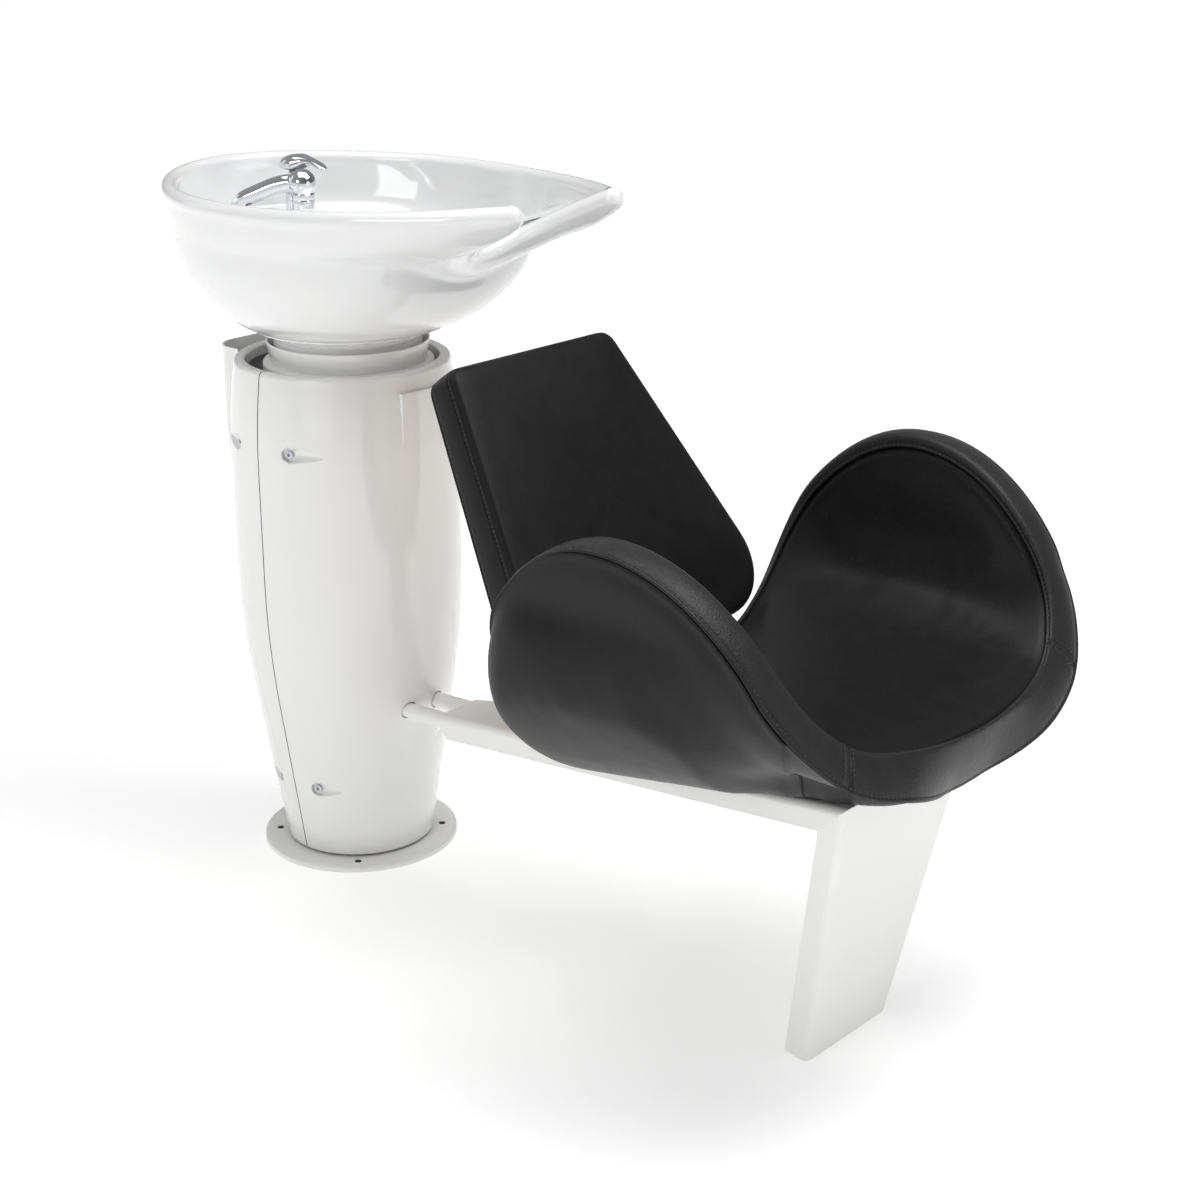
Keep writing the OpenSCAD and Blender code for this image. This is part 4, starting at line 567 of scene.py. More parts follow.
def rimStations():
    # (middle of the roll, direction outwards, radius, angle round the foot) for half the rim
    b = basin
    back, side, tip, notch = b["stations"]
    sideLength = b["hornReach"] / sqrt(1 - b["hornHalfWidth"] / b["bowlHalfWidth"])
    hornZ = b["rimZ"] + b["hornRise"] - b["hornRadius"]
    found = []
    for i in range(back + 1):
        t = 180 - 90 * i / back
        k = 1 - 0.025 * sinD(2 * t) ** 2
        x = b["bowlX"] + k * b["bowlBack"] * cosD(t)
        found.append((Vector((x, k * b["bowlHalfWidth"] * sinD(t), rimTop(x) - b["rimRadius"])),
                      degrees(atan2(b["bowlBack"] * sinD(t), b["bowlHalfWidth"] * cosD(t))),
                      b["rimRadius"], t))
    for i in range(1, side + 1):
        u = i / side
        v = u * b["hornReach"]
        x = b["bowlX"] + v
        r = mix(b["rimRadius"], b["hornRadius"], ease(2 * u - 1))
        turn = degrees(atan2(1, 2 * b["bowlHalfWidth"] * v / sideLength ** 2))
        found.append((Vector((x, b["bowlHalfWidth"] * (1 - (v / sideLength) ** 2), rimTop(x) - r)),
                      turn, r, 90 - 58 * u))
    sideTurn = found[-1][1]
    for i in range(1, tip):
        u = i / tip
        x = b["bowlX"] + b["hornReach"] + 0.02 * u
        found.append((Vector((x, b["hornHalfWidth"] - 0.5 * u, hornZ)),
                      mix(sideTurn, notchTurn(0), u), b["hornRadius"], 32 - 4 * u))
    for i in range(notch + 1):
        u = i / notch
        p = notchPoint(u) - (Vector((0, 0.6, 0)) if i == 0 else Vector())
        r = mix(b["hornRadius"], b["notchRadius"], ease(1.4 * u))
        found.append((p, notchTurn(u), r, 28 * (1 - u)))
    return found


def aroundFoot(r, a, z):
    return Vector((basin["centreX"] + r * cosD(a), r * sinD(a), z))


def creasePoint(a):
    b = basin
    g = ease(1 - a / b["creaseTurn"])
    reach = b["creaseBack"] if a > 90 else b["creaseFront"]
    drop = b["creaseZ"] - b["notchZ"] + b["notchRadius"] + b["creaseDip"]
    return Vector((b["bowlX"] + reach * cosD(a) - b["creaseDraw"] * g,
                   b["creaseHalfWidth"] * sinD(a), b["creaseZ"] - drop * g))


def bodyPoint(a, v):
    s0, s1 = basin["bodySlopes"]
    s = mix(s0, s1, v)
    p = (sinD(s) - sinD(s0)) / (sinD(s1) - sinD(s0))
    q = (cosD(s0) - cosD(s)) / (cosD(s0) - cosD(s1))
    f, c = aroundFoot(basin["footRadius"], a, basin["footZ"]), creasePoint(a)
    return Vector((mix(f.x, c.x, p), mix(f.y, c.y, p), mix(f.z, c.z, q)))


def rollPoint(station, b):
    middle, turn, r, _ = station
    return middle + r * Vector((cosD(turn) * cosD(b), sinD(turn) * cosD(b), sinD(b)))


def flarePoint(station, w):
    c, r = creasePoint(station[3]), rollPoint(station, -50)
    g = ease((140 - station[3]) / 60)
    p, q = (mix(side, front, g) for side, front in zip(basin["flareSide"], basin["flareFront"]))
    m = Vector((mix(c.x, r.x, p), mix(c.y, r.y, p), mix(c.z, r.z, q)))
    return (1 - w) ** 2 * c + 2 * w * (1 - w) * m + w * w * r


def sampled(values, t):
    # smooth reading of an evenly spaced list, t from 0 to 1
    x = min(max(t, 0), 1) * (len(values) - 1)
    i = min(int(x), len(values) - 2)
    p = [values[min(max(j, 0), len(values) - 1)] for j in (i - 1, i, i + 1, i + 2)]
    u = x - i
    return 0.5 * (2 * p[1] + (p[2] - p[0]) * u + (2 * p[0] - 5 * p[1] + 4 * p[2] - p[3]) * u * u
                  + (3 * p[1] - p[0] - 3 * p[2] + p[3]) * u ** 3)


def insidePoint(station, t):
    # t from the inner side of the roll, 0, to the bottom of the bowl, 1
    b, a = basin, station[3]
    start, end = rollPoint(station, 190), aroundFoot(basin["bottomRadius"], a, basin["floorZ"] + 4)
    g, h = ease((a - 96) / 34), ease((75 - a) / 35)
    plan = mix(mix(1 - max(cosD(90 * t), 0) ** 0.75, sampled(b["hornIn"], t), h),
               sampled(b["ledgeIn"], t), g)
    zBowl = mix(start.z, end.z, mix(sinD(90 * t), sampled(b["hornDown"], t), h))
    d = sampled(b["ledgeDown"], t)
    zLedge = mix(start.z, b["ledgeZ"], d) if d <= 1 else mix(b["ledgeZ"], end.z, (d - 1) / 1.1)
    return Vector((mix(start.x, end.x, plan), mix(start.y, end.y, plan), mix(zBowl, zLedge, g)))


def hollowPoint(a, k):
    g = ease((a - 110) / 40)
    r, z = (mix(s, h, g) for s, h in zip(basin["hollowSide"][k], basin["hollowBack"][k]))
    return aroundFoot(r, a, basin["footZ"] if k == 7 else basin["floorZ"] - basin["wall"] + z)


def bothSides(half):
    # half a ring from the back middle to the front middle, closed by its mirror image
    return half + [Vector((p.x, -p.y, p.z)) for p in half[-2:0:-1]]


def makeBasin():
    b = basin
    half = rimStations()
    rings = [bothSides([bodyPoint(s[3], k / 10) for s in half]) for k in range(11)]
    rings += [bothSides([flarePoint(s, w) for s in half]) for w in (0.2, 0.4, 0.6, 0.8)]
    rings += [bothSides([rollPoint(s, a) for s in half]) for a in range(-50, 191, 20)]
    rings += [bothSides([insidePoint(s, k / 18) for s in half]) for k in range(1, 19)]
    rings += [bothSides([aroundFoot(r, s[3], b["floorZ"] + z) for s in half])
              for r, z in b["drain"]]
    rings += [bothSides([hollowPoint(s[3], k) for s in half]) for k in range(8)]
    rings += [bothSides([aroundFoot(r, s[3], b["footZ"]) for s in half]) for r in b["footRing"]]
    bm = loft(rings, endless=True)
    piece = finishPiece("ceramicBasin", bm, china, subdivide=1)
    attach(piece, "basin")
    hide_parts("ceramic_basin")


makeBasin()
print("basin made")


# seat: one curved sheet, a nearly flat pan that bends up into two leaning arms. a is the
# distance along the sheet from the middle, d the depth below the leather's surface, and f runs
# round the outline in degrees from the middle of the front

seat = {
    "panZ": 467, "middleX": 770, "front": 298, "back": 255, "arm": 437, "backCut": 140,
    "panHalfWidth": 160, "panRadius": 865, "armRadius": 133, "armAngle": 81, "shift": 80,
    "edge": 50, "lip": 28, "pad": 24, "board": 12,
    "cutSpan": 350,             # the back of the outline is cut away between the arms, to here
    "bellyFront": 92, "bellyBack": 105, "edgeSet": 10, "bellySet": 44,
    "bellyTurn": (960, 250),    # x where the front belly ends, and the length of the change
    "frontSwell": 24, "frontDraw": 22, "keelWidth": 105, "keelCurve": 0.0033,
    "innerSeam": 0.953,         # share of the way from the middle to the outline
    "stations": 144,
    "crown": 6,                 # fullness of the inner pad
    "padSwell": 3.5, "bandSwell": 1.5, "coverSwell": 2.5,   # how far simulated leather lifts
    "stitchLength": 4.6, "stitchStep": 6.4, "stitchThick": 1.2, "stitchFromSeam": 5.0,
    "crossSeam": 30.0, "crossDepth": 3.2, "crossRows": 0.85,    # double seam across the band
    "hem": 40.5, "hemStep": 4.5,    # where the side panel laps over the front panel
}
beam = {"x": 215, "z": 260.7, "kneeX": 969.3, "kneeZ": 379.1}


def sheetAt(a):
    # across and up from the middle of the pan, and the slope there in degrees
    s = seat
    bend = degrees(asin(s["panHalfWidth"] / s["panRadius"]))
    flat = s["panRadius"] * radians(bend)
    turn = s["armRadius"] * radians(s["armAngle"] - bend)
    if a < flat:
        t = a / flat * bend
        return s["panRadius"] * sinD(t), s["panRadius"] * (1 - cosD(t)), t
    t = min(bend + (a - flat) / turn * (s["armAngle"] - bend), s["armAngle"])
    rest = max(a - flat - turn, 0)
    middle = s["panRadius"] - s["armRadius"]
    return (middle * sinD(bend) + s["armRadius"] * sinD(t) + rest * cosD(t),
            s["panRadius"] - middle * cosD(bend) - s["armRadius"] * cosD(t) + rest * sinD(t), t)


def onSheet(x, a, d):
    y, z, t = sheetAt(abs(a))
    y, z = y + d * sinD(t), z - d * cosD(t)
    return Vector((x, -y if a < 0 else y, seat["panZ"] + z))


def seatOutline(f):
    s = seat
    a, c = s["arm"] * sinD(f), cosD(f)
    cut = s["backCut"] / 2 * (1 + cosD(min(180, 180 * abs(a) / s["cutSpan"]))) if c < 0 else 0
    return s["middleX"] + (s["front"] if c > 0 else s["back"]) * c + cut, a


def seatReach(f):
    # distance from the middle of the sheet to the outline
    x, a = seatOutline(f)
    return hypot(x - seat["middleX"] - seat["shift"], a)


def seatAt(f, r):
    x, a = seatOutline(f)
    middle = seat["middleX"] + seat["shift"]
    return middle + r * (x - middle), r * a


def edgeDepth(f, a):
    lip = seat["lip"] / 2 * (1 + cosD(min(180, abs(a)))) if cosD(f) > 0 else 0
    return seat["edge"] + lip


def rimDepth(f):
    return edgeDepth(f, seatAt(f, 1)[1])


def bodyDepth(x, a):
    front = seat["edge"] + seat["bellyFront"] * (1 - ease((abs(a) - 60) / 110))
    back = seat["edge"] + seat["bellyBack"] * (max(0, seat["cutSpan"] - abs(a)) / 190) ** 1.1
    start, length = seat["bellyTurn"]
    return mix(front, back, ease((start - x) / length))


def backPart(f):
    return max(0, -cosD(f)) ** 0.35


def edgeShift(f):
    g = abs(f - 360 if f > 180 else f)
    swell = seat["frontSwell"] * sinD(180 * (g - 5) / 40) if 5 < g < 45 else 0
    return swell - seat["frontDraw"] * (1 - ease(g / 20)) - seat["edgeSet"] * backPart(f)


def keel(x, y):
    slope = (beam["kneeZ"] - beam["z"]) / (beam["kneeX"] - beam["x"])
    onBeam = beam["z"] + (min(x, beam["kneeX"] + 60) - beam["x"]) * slope
    return onBeam + 1 + seat["keelCurve"] * max(0, abs(y) - seat["keelWidth"]) ** 2


def seatPoint(f, r, d):
    x, a = seatAt(f, r)
    t = min(1, max(0, d / edgeDepth(f, a))) * ease((r - 0.7) / 0.25)
    return onSheet(x + edgeShift(f) * t, a, d)


def coverPoint(f, r, lift=0.0):
    # outer cover: even at its edge, swelling to a rounded underside that lies on the beam
    x, a = seatAt(f, r)
    w = ease((0.95 - r) / mix(0.14, 0.45, ease(cosD(f))))
    d = mix(edgeDepth(f, a), bodyDepth(x, a), w) + lift
    drawn = seat["bellySet"] * min(1, (1 - r) / 0.12) * ease((abs(a) - 90) / 80) * backPart(f)
    p = onSheet(x + edgeShift(f) * (1 - w if cosD(f) > 0 else 1) - drawn, a, d)
    p.z = max(p.z, keel(p.x, p.y))
    return p


def seatStations():
    # even steps, with narrow ones beside the seams that cross the leather
    n = seat["stations"]
    found = [360 * i / n for i in range(n)]
    for seam in (seat["crossSeam"], seat["hem"]):
        for side in (seam, 360 - seam):
            found = [f for f in found if abs(f - side) > 2.2]
            found += [side + step for step in (-2.0, -1.3, -0.8, -0.35, 0, 0.35, 0.8, 1.3, 2.0)]
    return sorted(found)


seatFs = seatStations()


def seamFold(distance, depth=4.5, reach=5.0):
    # how far leather is drawn down at a distance from a seam
    return depth * fade((abs(distance) / reach) ** 1.4)


def puff(piece, sewn, cap, pressure=4.0, frames=20):
    # air pressure from inside lifts the free leather between its sewn lines
    scene = bpy.context.scene
    group = piece.vertex_groups.new(name="sewn")
    group.add(sewn, 1.0, "REPLACE")
    cloth = piece.modifiers.new("cloth", "CLOTH")
    cloth.settings.quality = 6
    cloth.settings.use_pressure = True
    cloth.settings.uniform_pressure_force = pressure
    cloth.settings.vertex_group_mass = group.name
    cloth.settings.effector_weights.gravity = 0
    cloth.settings.bending_stiffness = 2.0
    cloth.collision_settings.use_collision = False
    cloth.point_cache.frame_start, cloth.point_cache.frame_end = 1, frames
    for number in range(1, frames + 1):
        scene.frame_set(number)
    shaped = piece.evaluated_get(bpy.context.evaluated_depsgraph_get())
    moved = [v.co.copy() for v in shaped.data.vertices]
    piece.modifiers.remove(cloth)
    scene.frame_set(1)
    for vert, place in zip(piece.data.vertices, moved):
        shift = place - vert.co
        if shift.length > cap * mm:
            shift = shift.normalized() * cap * mm
        vert.co = vert.co + shift


def sewnVertices(bm, rings):
    order = bm.verts.layers.int["ring"]
    bm.verts.ensure_lookup_table()
    bm.verts.index_update()
    return [v.index for v in bm.verts if v[order] in rings]


def crossDip(f):
    # groove across the band at its double seam
    return seat["crossDepth"] * max(fade((abs(f - side) / 0.45) ** 2)
                                    for side in (seat["crossSeam"], 360 - seat["crossSeam"]))


def makeSeatPad():
    s, seam = seat, seat["innerSeam"]
    near = (0, 1.2, 2.6, 4.5, 7, 10, 14, 20)

    def top(f, q, distance):
        # q runs from the middle, 0, to where the folds at the seam begin, 1
        r = q * (seam - 20 / seatReach(f)) if distance is None else seam - distance / seatReach(f)
        fold = 0 if distance is None else seamFold(distance)
        return seatPoint(f, r, 1 - s["crown"] * (1 - (r / seam) ** 6) + fold)

    inner = [k / 16 for k in range(1, 16)]
    rings = [[top(f, q, None) for f in seatFs] for q in inner]
    rings += [[top(f, 1, distance) for f in seatFs] for distance in reversed(near)]
    free = set(range(len(inner)))
    low = s["pad"] - 0.5
    rings += [[seatPoint(f, seam - 0.3 / seatReach(f), d) for f in seatFs] for d in (9, 15, low)]
    rings += [[seatPoint(f, q * seam, low) for f in seatFs] for q in (0.97, 0.85, 0.6, 0.3)]
    middle = s["middleX"] + s["shift"]
    bm = loft(rings, firstPoint=onSheet(middle, 0, 1 - s["crown"]),
              lastPoint=onSheet(middle, 0, low))
    sewn = sewnVertices(bm, set(range(len(rings))) - free)
    piece = finishPiece("seatPad", bm, hidePanel)
    puff(piece, sewn, s["padSwell"])
    smoothed(piece)
    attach(piece, "chair_and_column")
    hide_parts("seat_pad")


def bandPoint(f, out, d):
    return seatPoint(f, seat["innerSeam"] + out / seatReach(f), d)


def bandSection(f):
    # (distance outwards from the inner seam, depth) from seam to seam over the edge
    width = (1 - seat["innerSeam"]) * seatReach(f)
    depth = rimDepth(f)
    return [(0.4, 5), (1.0, 1.9), (2.2, 0.1), (3.6, 0.0), (5.0, 1.5), (6.6, 0.2),
            (0.5 * width + 2, -0.4), (0.78 * width, 0.8), (0.93 * width, 4), (width, 9),
            (width + 1.6, 0.32 * depth), (width + 2.4, 0.5 * depth), (width + 1.8, 0.68 * depth),
            (width + 0.8, depth - 9.6), (width - 1.0, depth - 7.6), (width + 0.4, depth - 5.8),
            (width, depth - 3.4), (width - 1.8, depth - 2.0), (width - 3.4, depth - 1.6)]


def makeSeatBand():
    count = len(bandSection(0))

    def band(f, k):
        out, d = bandSection(f)[k]
        if 3 < k < count - 3:
            # the groove goes down on the face of the band and inwards on its side
            d += crossDip(f) if k < 9 else 0
            out -= crossDip(f) if k >= 9 else 0
        return bandPoint(f, out, d)

    rings = [[band(f, k) for f in seatFs] for k in range(count)]
    for inset, share in ((0.985, 0.93), (0.957, 0.91), (0.957, 0.5)):
        rings.append([seatPoint(f, inset, share * rimDepth(f) - 2) for f in seatFs])
    bm = loft(rings, endless=True)
    sewn = sewnVertices(bm, set(range(len(rings))) - {7, 8, 9, 10, 11, 12})
    piece = finishPiece("seatBand", bm, paintedLitHideBand)
    puff(piece, sewn, seat["bandSwell"])
    smoothed(piece)
    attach(piece, "chair_and_column")
    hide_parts("seat_border")


def makeSeatCover():
    s = seat
    top = s["pad"] + s["board"] + 0.6

    def step(f):
        # the front panel lies a little below the side panel's folded hem
        g = abs(f - 360 if f > 180 else f)
        return -s["hemStep"] * (1 - ease((g - s["hem"] + 0.35) / 0.35))

    def outer(f, distance, lift):
        r = 1 - distance / seatReach(f)
        return coverPoint(f, r, lift + step(f) * ease(distance / 10))

    near = ((3.2, -0.9), (3.8, 0.1), (5.2, 0.8), (8, 0.9), (12, 0.5), (17, 0.2))
    rings = [[seatPoint(f, q * s["innerSeam"], top) for f in seatFs]
             for q in (0.2, 0.5, 0.8, 0.99)]
    rings += [[seatPoint(f, 0.95, rimDepth(f) - 6) for f in seatFs],
              [seatPoint(f, 1 - 7 / seatReach(f), rimDepth(f) - 3.4) for f in seatFs]]
    hidden = len(rings)
    rings += [[outer(f, distance, lift) for f in seatFs] for distance, lift in near]
    rings += [[coverPoint(f, r, step(f)) for f in seatFs]
              for r in (0.93, 0.905, 0.88, 0.85, 0.815, 0.78, 0.74, 0.7, 0.655, 0.61, 0.56, 0.5,
                        0.43, 0.36, 0.28, 0.2, 0.1)]
    middle = s["middleX"] + s["shift"]
    low = onSheet(middle, 0, 200)
    low.z = keel(low.x, 0)
    bm = loft(rings, firstPoint=onSheet(middle, 0, top), lastPoint=low)
    free = set(range(hidden + len(near), hidden + len(near) + 9))
    sewn = sewnVertices(bm, set(range(len(rings))) - free)
    piece = finishPiece("seatCover", bm, hidePanel)
    puff(piece, sewn, s["coverSwell"])
    smoothed(piece)
    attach(piece, "chair_and_column")
    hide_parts("seat_outer")


def makeStitch():
    # one short thread lying along X, copied for every stitch
    half, thick = seat["stitchLength"] / 2, seat["stitchThick"] / 2
    bm = bmesh.new()
    bmesh.ops.create_uvsphere(bm, u_segments=6, v_segments=4, radius=1.0,
                              matrix=Matrix.Diagonal((half, thick, thick, 1)))
    mesh = bpy.data.meshes.new("stitch")
    bm.to_mesh(mesh)
    bm.free()
    return mesh


stitch = makeStitch()


def stitchRow(bm, path):
    # stitches along a line of points, each sunk by half in the leather
    length, nextAt = 0.0, seat["stitchStep"] / 2
    for a, b in zip(path, path[1:]):
        step = (b - a).length
        while step and nextAt < length + step:
            turn = Vector((1, 0, 0)).rotation_difference(b - a).to_matrix().to_4x4()
            place = Matrix.Translation(a.lerp(b, (nextAt - length) / step)) @ turn
            laid = stitch.copy()
            laid.transform(place)
            bm.from_mesh(laid)
            bpy.data.meshes.remove(laid)
            nextAt += seat["stitchStep"]
        length += step


def makeSeatStitches():
    s = seat
    bm = bmesh.new()
    fs = [k * 0.5 for k in range(721)]

    def width(f):
        return (1 - s["innerSeam"]) * seatReach(f)

    stitchRow(bm, [bandPoint(f, s["stitchFromSeam"], 0.8) for f in fs])
    stitchRow(bm, [bandPoint(f, width(f) - 0.3, rimDepth(f) - 7.6) for f in fs])
    for seam in (s["crossSeam"], 360 - s["crossSeam"]):
        for side in (-s["crossRows"], s["crossRows"]):
            f = seam + side
            w, d = width(f), rimDepth(f)
            stitchRow(bm, [bandPoint(f, out, deep) for out, deep in (
                (9, -0.2), (0.5 * w + 2, -0.5), (0.78 * w, 0.7), (0.93 * w + 0.2, 3.8),
                (w + 0.4, 9), (w + 1.9, 0.32 * d), (w + 2.7, 0.5 * d), (w + 2.1, 0.68 * d),
                (w + 0.9, d - 10))])
    piece = finishPiece("seatStitches", bm, thread)
    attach(piece, "chair_and_column")


makeSeatPad()
makeSeatBand()
makeSeatCover()
makeSeatStitches()
print("seat made")


# backrest: drawn in its own frame, x down the face, y across and z out of the face

back = {
    "x": 364.3, "z": 802.7, "lean": 35.07, "length": 418, "topHalf": 150.5, "lowHalf": 234,
    "topThick": 54, "lowThick": 65, "topRadius": 22, "lowRadius": 82,
    "crown": 8, "swell": 4,
}


def onBack(p):
    t = 90 - back["lean"]
    return Vector((back["x"] + p[0] * cosD(t) + p[2] * sinD(t), p[1],
                   back["z"] - p[0] * sinD(t) + p[2] * cosD(t)))


def backDepth(x):
    return mix(back["topThick"], back["lowThick"], x / back["length"])


def backOutline(d):
    # outline drawn in by d, from the middle of the lower edge round the right side and back
    b = back
    side = degrees(atan2(b["lowHalf"] - b["topHalf"], b["length"]))
    r0, r1 = b["topRadius"] - d / 2 + d * d / 50, b["lowRadius"] - d
    x0, x1 = d + r0, b["length"] - d - r1

    def halfWidth(x, r):
        return mix(b["topHalf"], b["lowHalf"], x / b["length"]) - (d + r) / cosD(side)

    y0, y1 = halfWidth(x0, r0), halfWidth(x1, r1)
    half = [(d, y0 * i / 8) for i in range(8)]
    half += [(x0 + r0 * cosD(t), y0 + r0 * sinD(t))
             for t in (180 - (90 - side) * i / 10 for i in range(11))]
    half += [(mix(x0 - r0 * sinD(side), x1 - r1 * sinD(side), i / 18),
              mix(y0 + r0 * cosD(side), y1 + r1 * cosD(side), i / 18)) for i in range(1, 18)]
    half += [(x1 + r1 * cosD(t), y1 + r1 * sinD(t))
             for t in ((90 + side) * (1 - i / 16) for i in range(17))]
    half += [(b["length"] - d, y1 * (1 - i / 7)) for i in range(1, 8)]
    return half[::-1] + [(x, -y) for x, y in half[1:-1]]


def makeBackCushion():
    b = back
    middle = 0.52 * b["length"]

    def face(q, inset, z):
        return [onBack((mix(middle, x, q), y * q, z)) for x, y in backOutline(inset)]

    def side(d, share, z):
        return [onBack((x, y, z - share * backDepth(x))) for x, y in backOutline(d)]

    def crown(inset):
        # full and almost flat in the middle, rounding down to the seam
        return b["crown"] * (1 - fade(inset / 30)) - seamFold(inset, 5.5, 3.2)

    inner = [k / 9 for k in range(1, 10)]
    rings = [face(q, 48, crown(48) + 1.2 * (1 - q * q)) for q in inner]
    rings += [face(1, inset, crown(inset))
              for inset in (40, 32, 25, 19, 14, 10, 7.5, 5.6, 4.2, 3.1, 2.3)]
    sewnFrom = len(inner)
    rings += [side(d, share, z) for d, share, z in (
        (2.6, 0, -5.0), (1.0, 0, -5.8), (0.5, 0, -7.8), (1.9, 0, -10), (0.1, 0, -12),
        (0, 0, -14.5), (0, 0.35, 0), (-0.4, 0.5, 0), (0, 0.65, 0), (0, 1, 14.5), (0.1, 1, 12),
        (1.9, 1, 10), (0.5, 1, 7.8), (1.0, 1, 5.8), (2.2, 1, 4.6), (3.6, 1, 2.2), (6, 1, 0.8),
        (12, 1, 0.1))]
    for q in (1, 0.8, 0.55, 0.3):
        rings.append([onBack((mix(middle, x, q), y * q, -backDepth(mix(middle, x, q))))
                      for x, y in backOutline(18)])
    bm = loft(rings, firstPoint=onBack((middle, 0, b["crown"])),
              lastPoint=onBack((middle, 0, -backDepth(middle))))
    free = set(range(sewnFrom)) | {sewnFrom + 17, sewnFrom + 18, sewnFrom + 19}
    sewn = sewnVertices(bm, set(range(len(rings))) - free)
    piece = finishPiece("backCushion", bm, hidePanel)
    puff(piece, sewn, b["swell"])
    smoothed(piece)
    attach(piece, "chair_and_column")
    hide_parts("backrest_cushion")


def makeBackStitches():
    bm = bmesh.new()
    for share, z in ((0, -10), (1, 10)):
        row = [onBack((x, y, z - share * backDepth(x))) for x, y in backOutline(1.2)]
        stitchRow(bm, row + row[:1])
    piece = finishPiece("backStitches", bm, thread)
    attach(piece, "chair_and_column")


makeBackCushion()
makeBackStitches()
bpy.data.meshes.remove(stitch)
print("backrest made")


# taps, each drawn round its own axis on the ledge

taps = {
    "x": -144, "y": 55, "ledge": 908, "leverZ": 971.6,
    # along the lever: place, half width, top, underside
    "lever": ((-24.6, 1, 3, 1.5), (-24, 5, 6.5, 0.5), (-22, 9.5, 10.5, 0.4), (-18, 16, 15.4, 0.4),
              (-12, 21, 19.8, 0.4), (-5, 23.6, 22.6, 0.4), (3, 23.8, 23.6, 0.5), (9, 22, 23.5, 1.5),
              (14, 18.5, 23.0, 4.5), (19, 14.5, 22.3, 8), (24, 11.4, 21.5, 10.6),
              (31, 9.2, 20.2, 12), (38, 8.4, 18.6, 11.6), (44, 8.6, 17, 9.6), (50, 8.8, 14.9, 7.4),
              (55, 8.0, 12.6, 6.2), (59.5, 6, 10.2, 5.8), (62, 2.5, 8.2, 6.4)),
    # hand shower: it points turn degrees towards the mixer; its middle line is drawn as
    # distance from the dock and height over the ledge
    "turn": 36, "neckRadius": (11.4, 11.6, 11.9, 12.2, 12.4, 12.4, 12.2, 12.0),
    "neckReach": (0, 2.5, 10, 23, 37, 53, 67, 77),
    "neckRise": (19.8, 28.5, 36.5, 42, 48, 54.5, 58.4, 59.5),
    "head": (93, 59.5, 20), "pivot": (77, 46.5), "sprayZ": 23.0,    # head: reach, rise, radius
    # the foot of the hand shower: height over the ledge and radius
    "stem": ((-13, 11.4), (-12.6, 11.4), (15.5, 11.4), (16.3, 11.6), (16.5, 13.8), (17, 14.4),
             (18.8, 14.4), (19.3, 13.9), (19.6, 11.6)),
    # the collar under the head: distance below the pivot and radius
    "collar": ((0.4, 16.6), (1.2, 17.2), (2.4, 17.3), (8, 17.2), (8.4, 16.7), (9.2, 16.7),
               (9.6, 17.2)),
    "sprayRadius": 14.8, "sprayThick": 1.6,
    "nozzles": ((5, 4.6), (10, 9.6)),   # how many, and the radius of their circle
}


def makeMixerLever():
    # a cap that flows into a blade, as one skin of sections along X
    t = taps
    rings = []
    for x, w, top, low in t["lever"]:
        mid = mix(low, top, 0.42)
        ring = []
        for k in range(28):
            a = 360 * k / 28
            c, v = cosD(a), sinD(a)
            flat = abs(c) ** 0.75 * (1 if c > 0 else -1)
            up = (top - mid) * v if v > 0 else (mid - low) * -abs(v) ** 0.6
            ring.append(Vector((t["x"] + x, t["y"] + w * flat, t["leverZ"] + mid + up)))
        rings.append(ring)
    x, w, top, low = t["lever"][-1]
    bm = loft(rings, firstPoint=Vector((t["x"] - 24.9, t["y"], t["leverZ"] + 2.2)),
              lastPoint=Vector((t["x"] + x + 0.5, t["y"], t["leverZ"] + (top + low) / 2)))
    piece = finishPiece("mixerLever", bm, chrome, subdivide=2)
    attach(piece, "lever")
    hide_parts("mixer_lever")


def showerPoint(reach, rise, aside=0.0):
    t = taps
    c, v = cosD(t["turn"]), sinD(t["turn"])
    return Vector((t["x"] + reach * c - aside * v, -t["y"] + reach * v + aside * c,
                   t["ledge"] + rise))


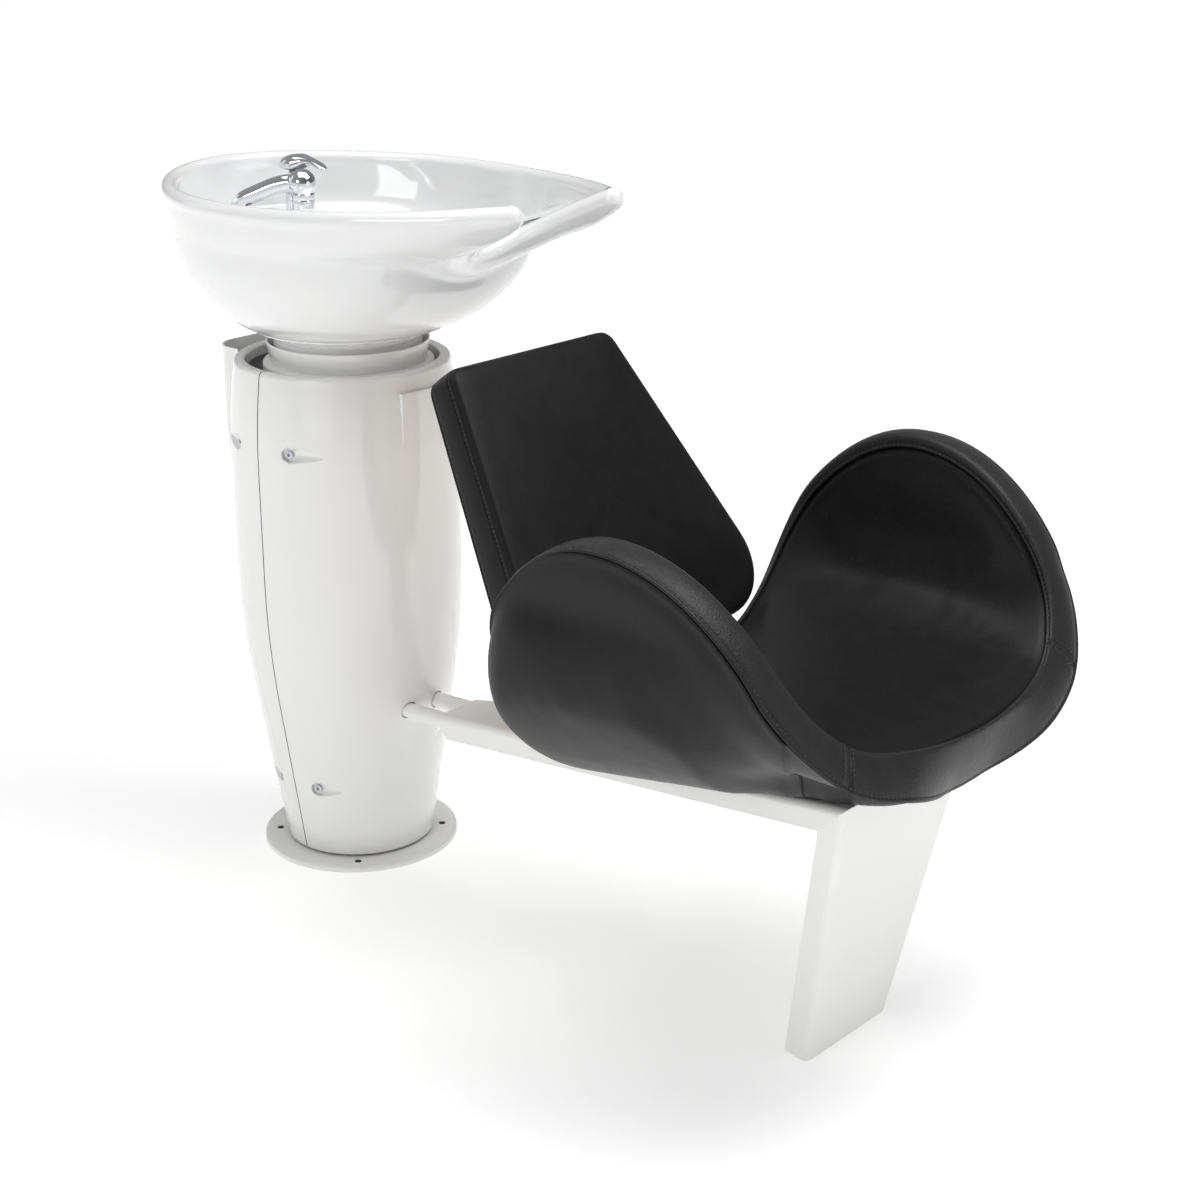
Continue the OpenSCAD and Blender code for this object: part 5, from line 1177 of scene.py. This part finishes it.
def makeHandShower():
    # stem, swan neck, round head and spray collar in one skin
    t = taps
    line = [(0, z, r, 90) for z, r in t["stem"]]
    steps = 21
    for k in range(1, steps):
        u, step = k / steps, 0.01
        x0, x1 = (sampled(t["neckReach"], u + d) for d in (-step, step))
        z0, z1 = (sampled(t["neckRise"], u + d) for d in (-step, step))
        line.append((sampled(t["neckReach"], u), sampled(t["neckRise"], u),
                     sampled(t["neckRadius"], u), degrees(atan2(z1 - z0, x1 - x0))))
    # the sections turn over the ball about a point below the neck
    x, z, r = t["head"]
    px, pz = t["pivot"][0] - x, t["pivot"][1] - z
    for k in range(13):
        a = 90 * k / 12
        d = px * cosD(a) - pz * sinD(a)
        line.append((x + d * cosD(a), z - d * sinD(a), sqrt(r * r - d * d), -a))
    line += [(x, t["pivot"][1] - down, r, -90) for down, r in t["collar"]]
    line += [(x, t["sprayZ"] + up, r, -90) for up, r in ((1, 17.1), (0, 16.3), (0.2, 15.2),
                                                         (1.4, 14.9))]
    rings = []
    for x, z, r, climb in line:
        rings.append([showerPoint(x - r * cosD(a) * sinD(climb), z + r * cosD(a) * cosD(climb),
                                  r * sinD(a)) for a in (360 * i / 28 for i in range(28))])
    bm = loft(rings, firstPoint=showerPoint(0, -13.4),
              lastPoint=showerPoint(t["head"][0], t["sprayZ"] + 1.5))
    piece = finishPiece("handShower", bm, chrome, subdivide=1)
    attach(piece, "handset")
    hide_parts("shower_handset")


def makeSprayFace():
    # round plate with two rings of nozzles
    t = taps
    bm = bmesh.new()
    middle = showerPoint(t["head"][0], t["sprayZ"] + 1.2)
    bmesh.ops.create_cone(bm, cap_ends=True, segments=48, radius1=t["sprayRadius"] - 0.5,
                          radius2=t["sprayRadius"], depth=t["sprayThick"],
                          matrix=Matrix.Translation(middle))
    rim = [e for e in bm.edges if all(v.co.z < middle.z for v in e.verts)]
    bmesh.ops.bevel(bm, geom=rim, offset=0.4, segments=2, profile=0.5, affect="EDGES", material=-1)
    for count, r in t["nozzles"]:
        for k in range(count):
            place = middle + Vector((r * cosD(360 * k / count), r * sinD(360 * k / count), -1.0))
            bmesh.ops.create_cone(bm, cap_ends=True, segments=12, radius1=0.7, radius2=1.1,
                                  depth=1.2, matrix=Matrix.Translation(place))
    piece = finishPiece("sprayFace", bm, nylon, smoothAngle=35)
    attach(piece, "handset")
    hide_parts("spray_face")


makeMixerLever()
makeHandShower()
makeSprayFace()
print("taps made")
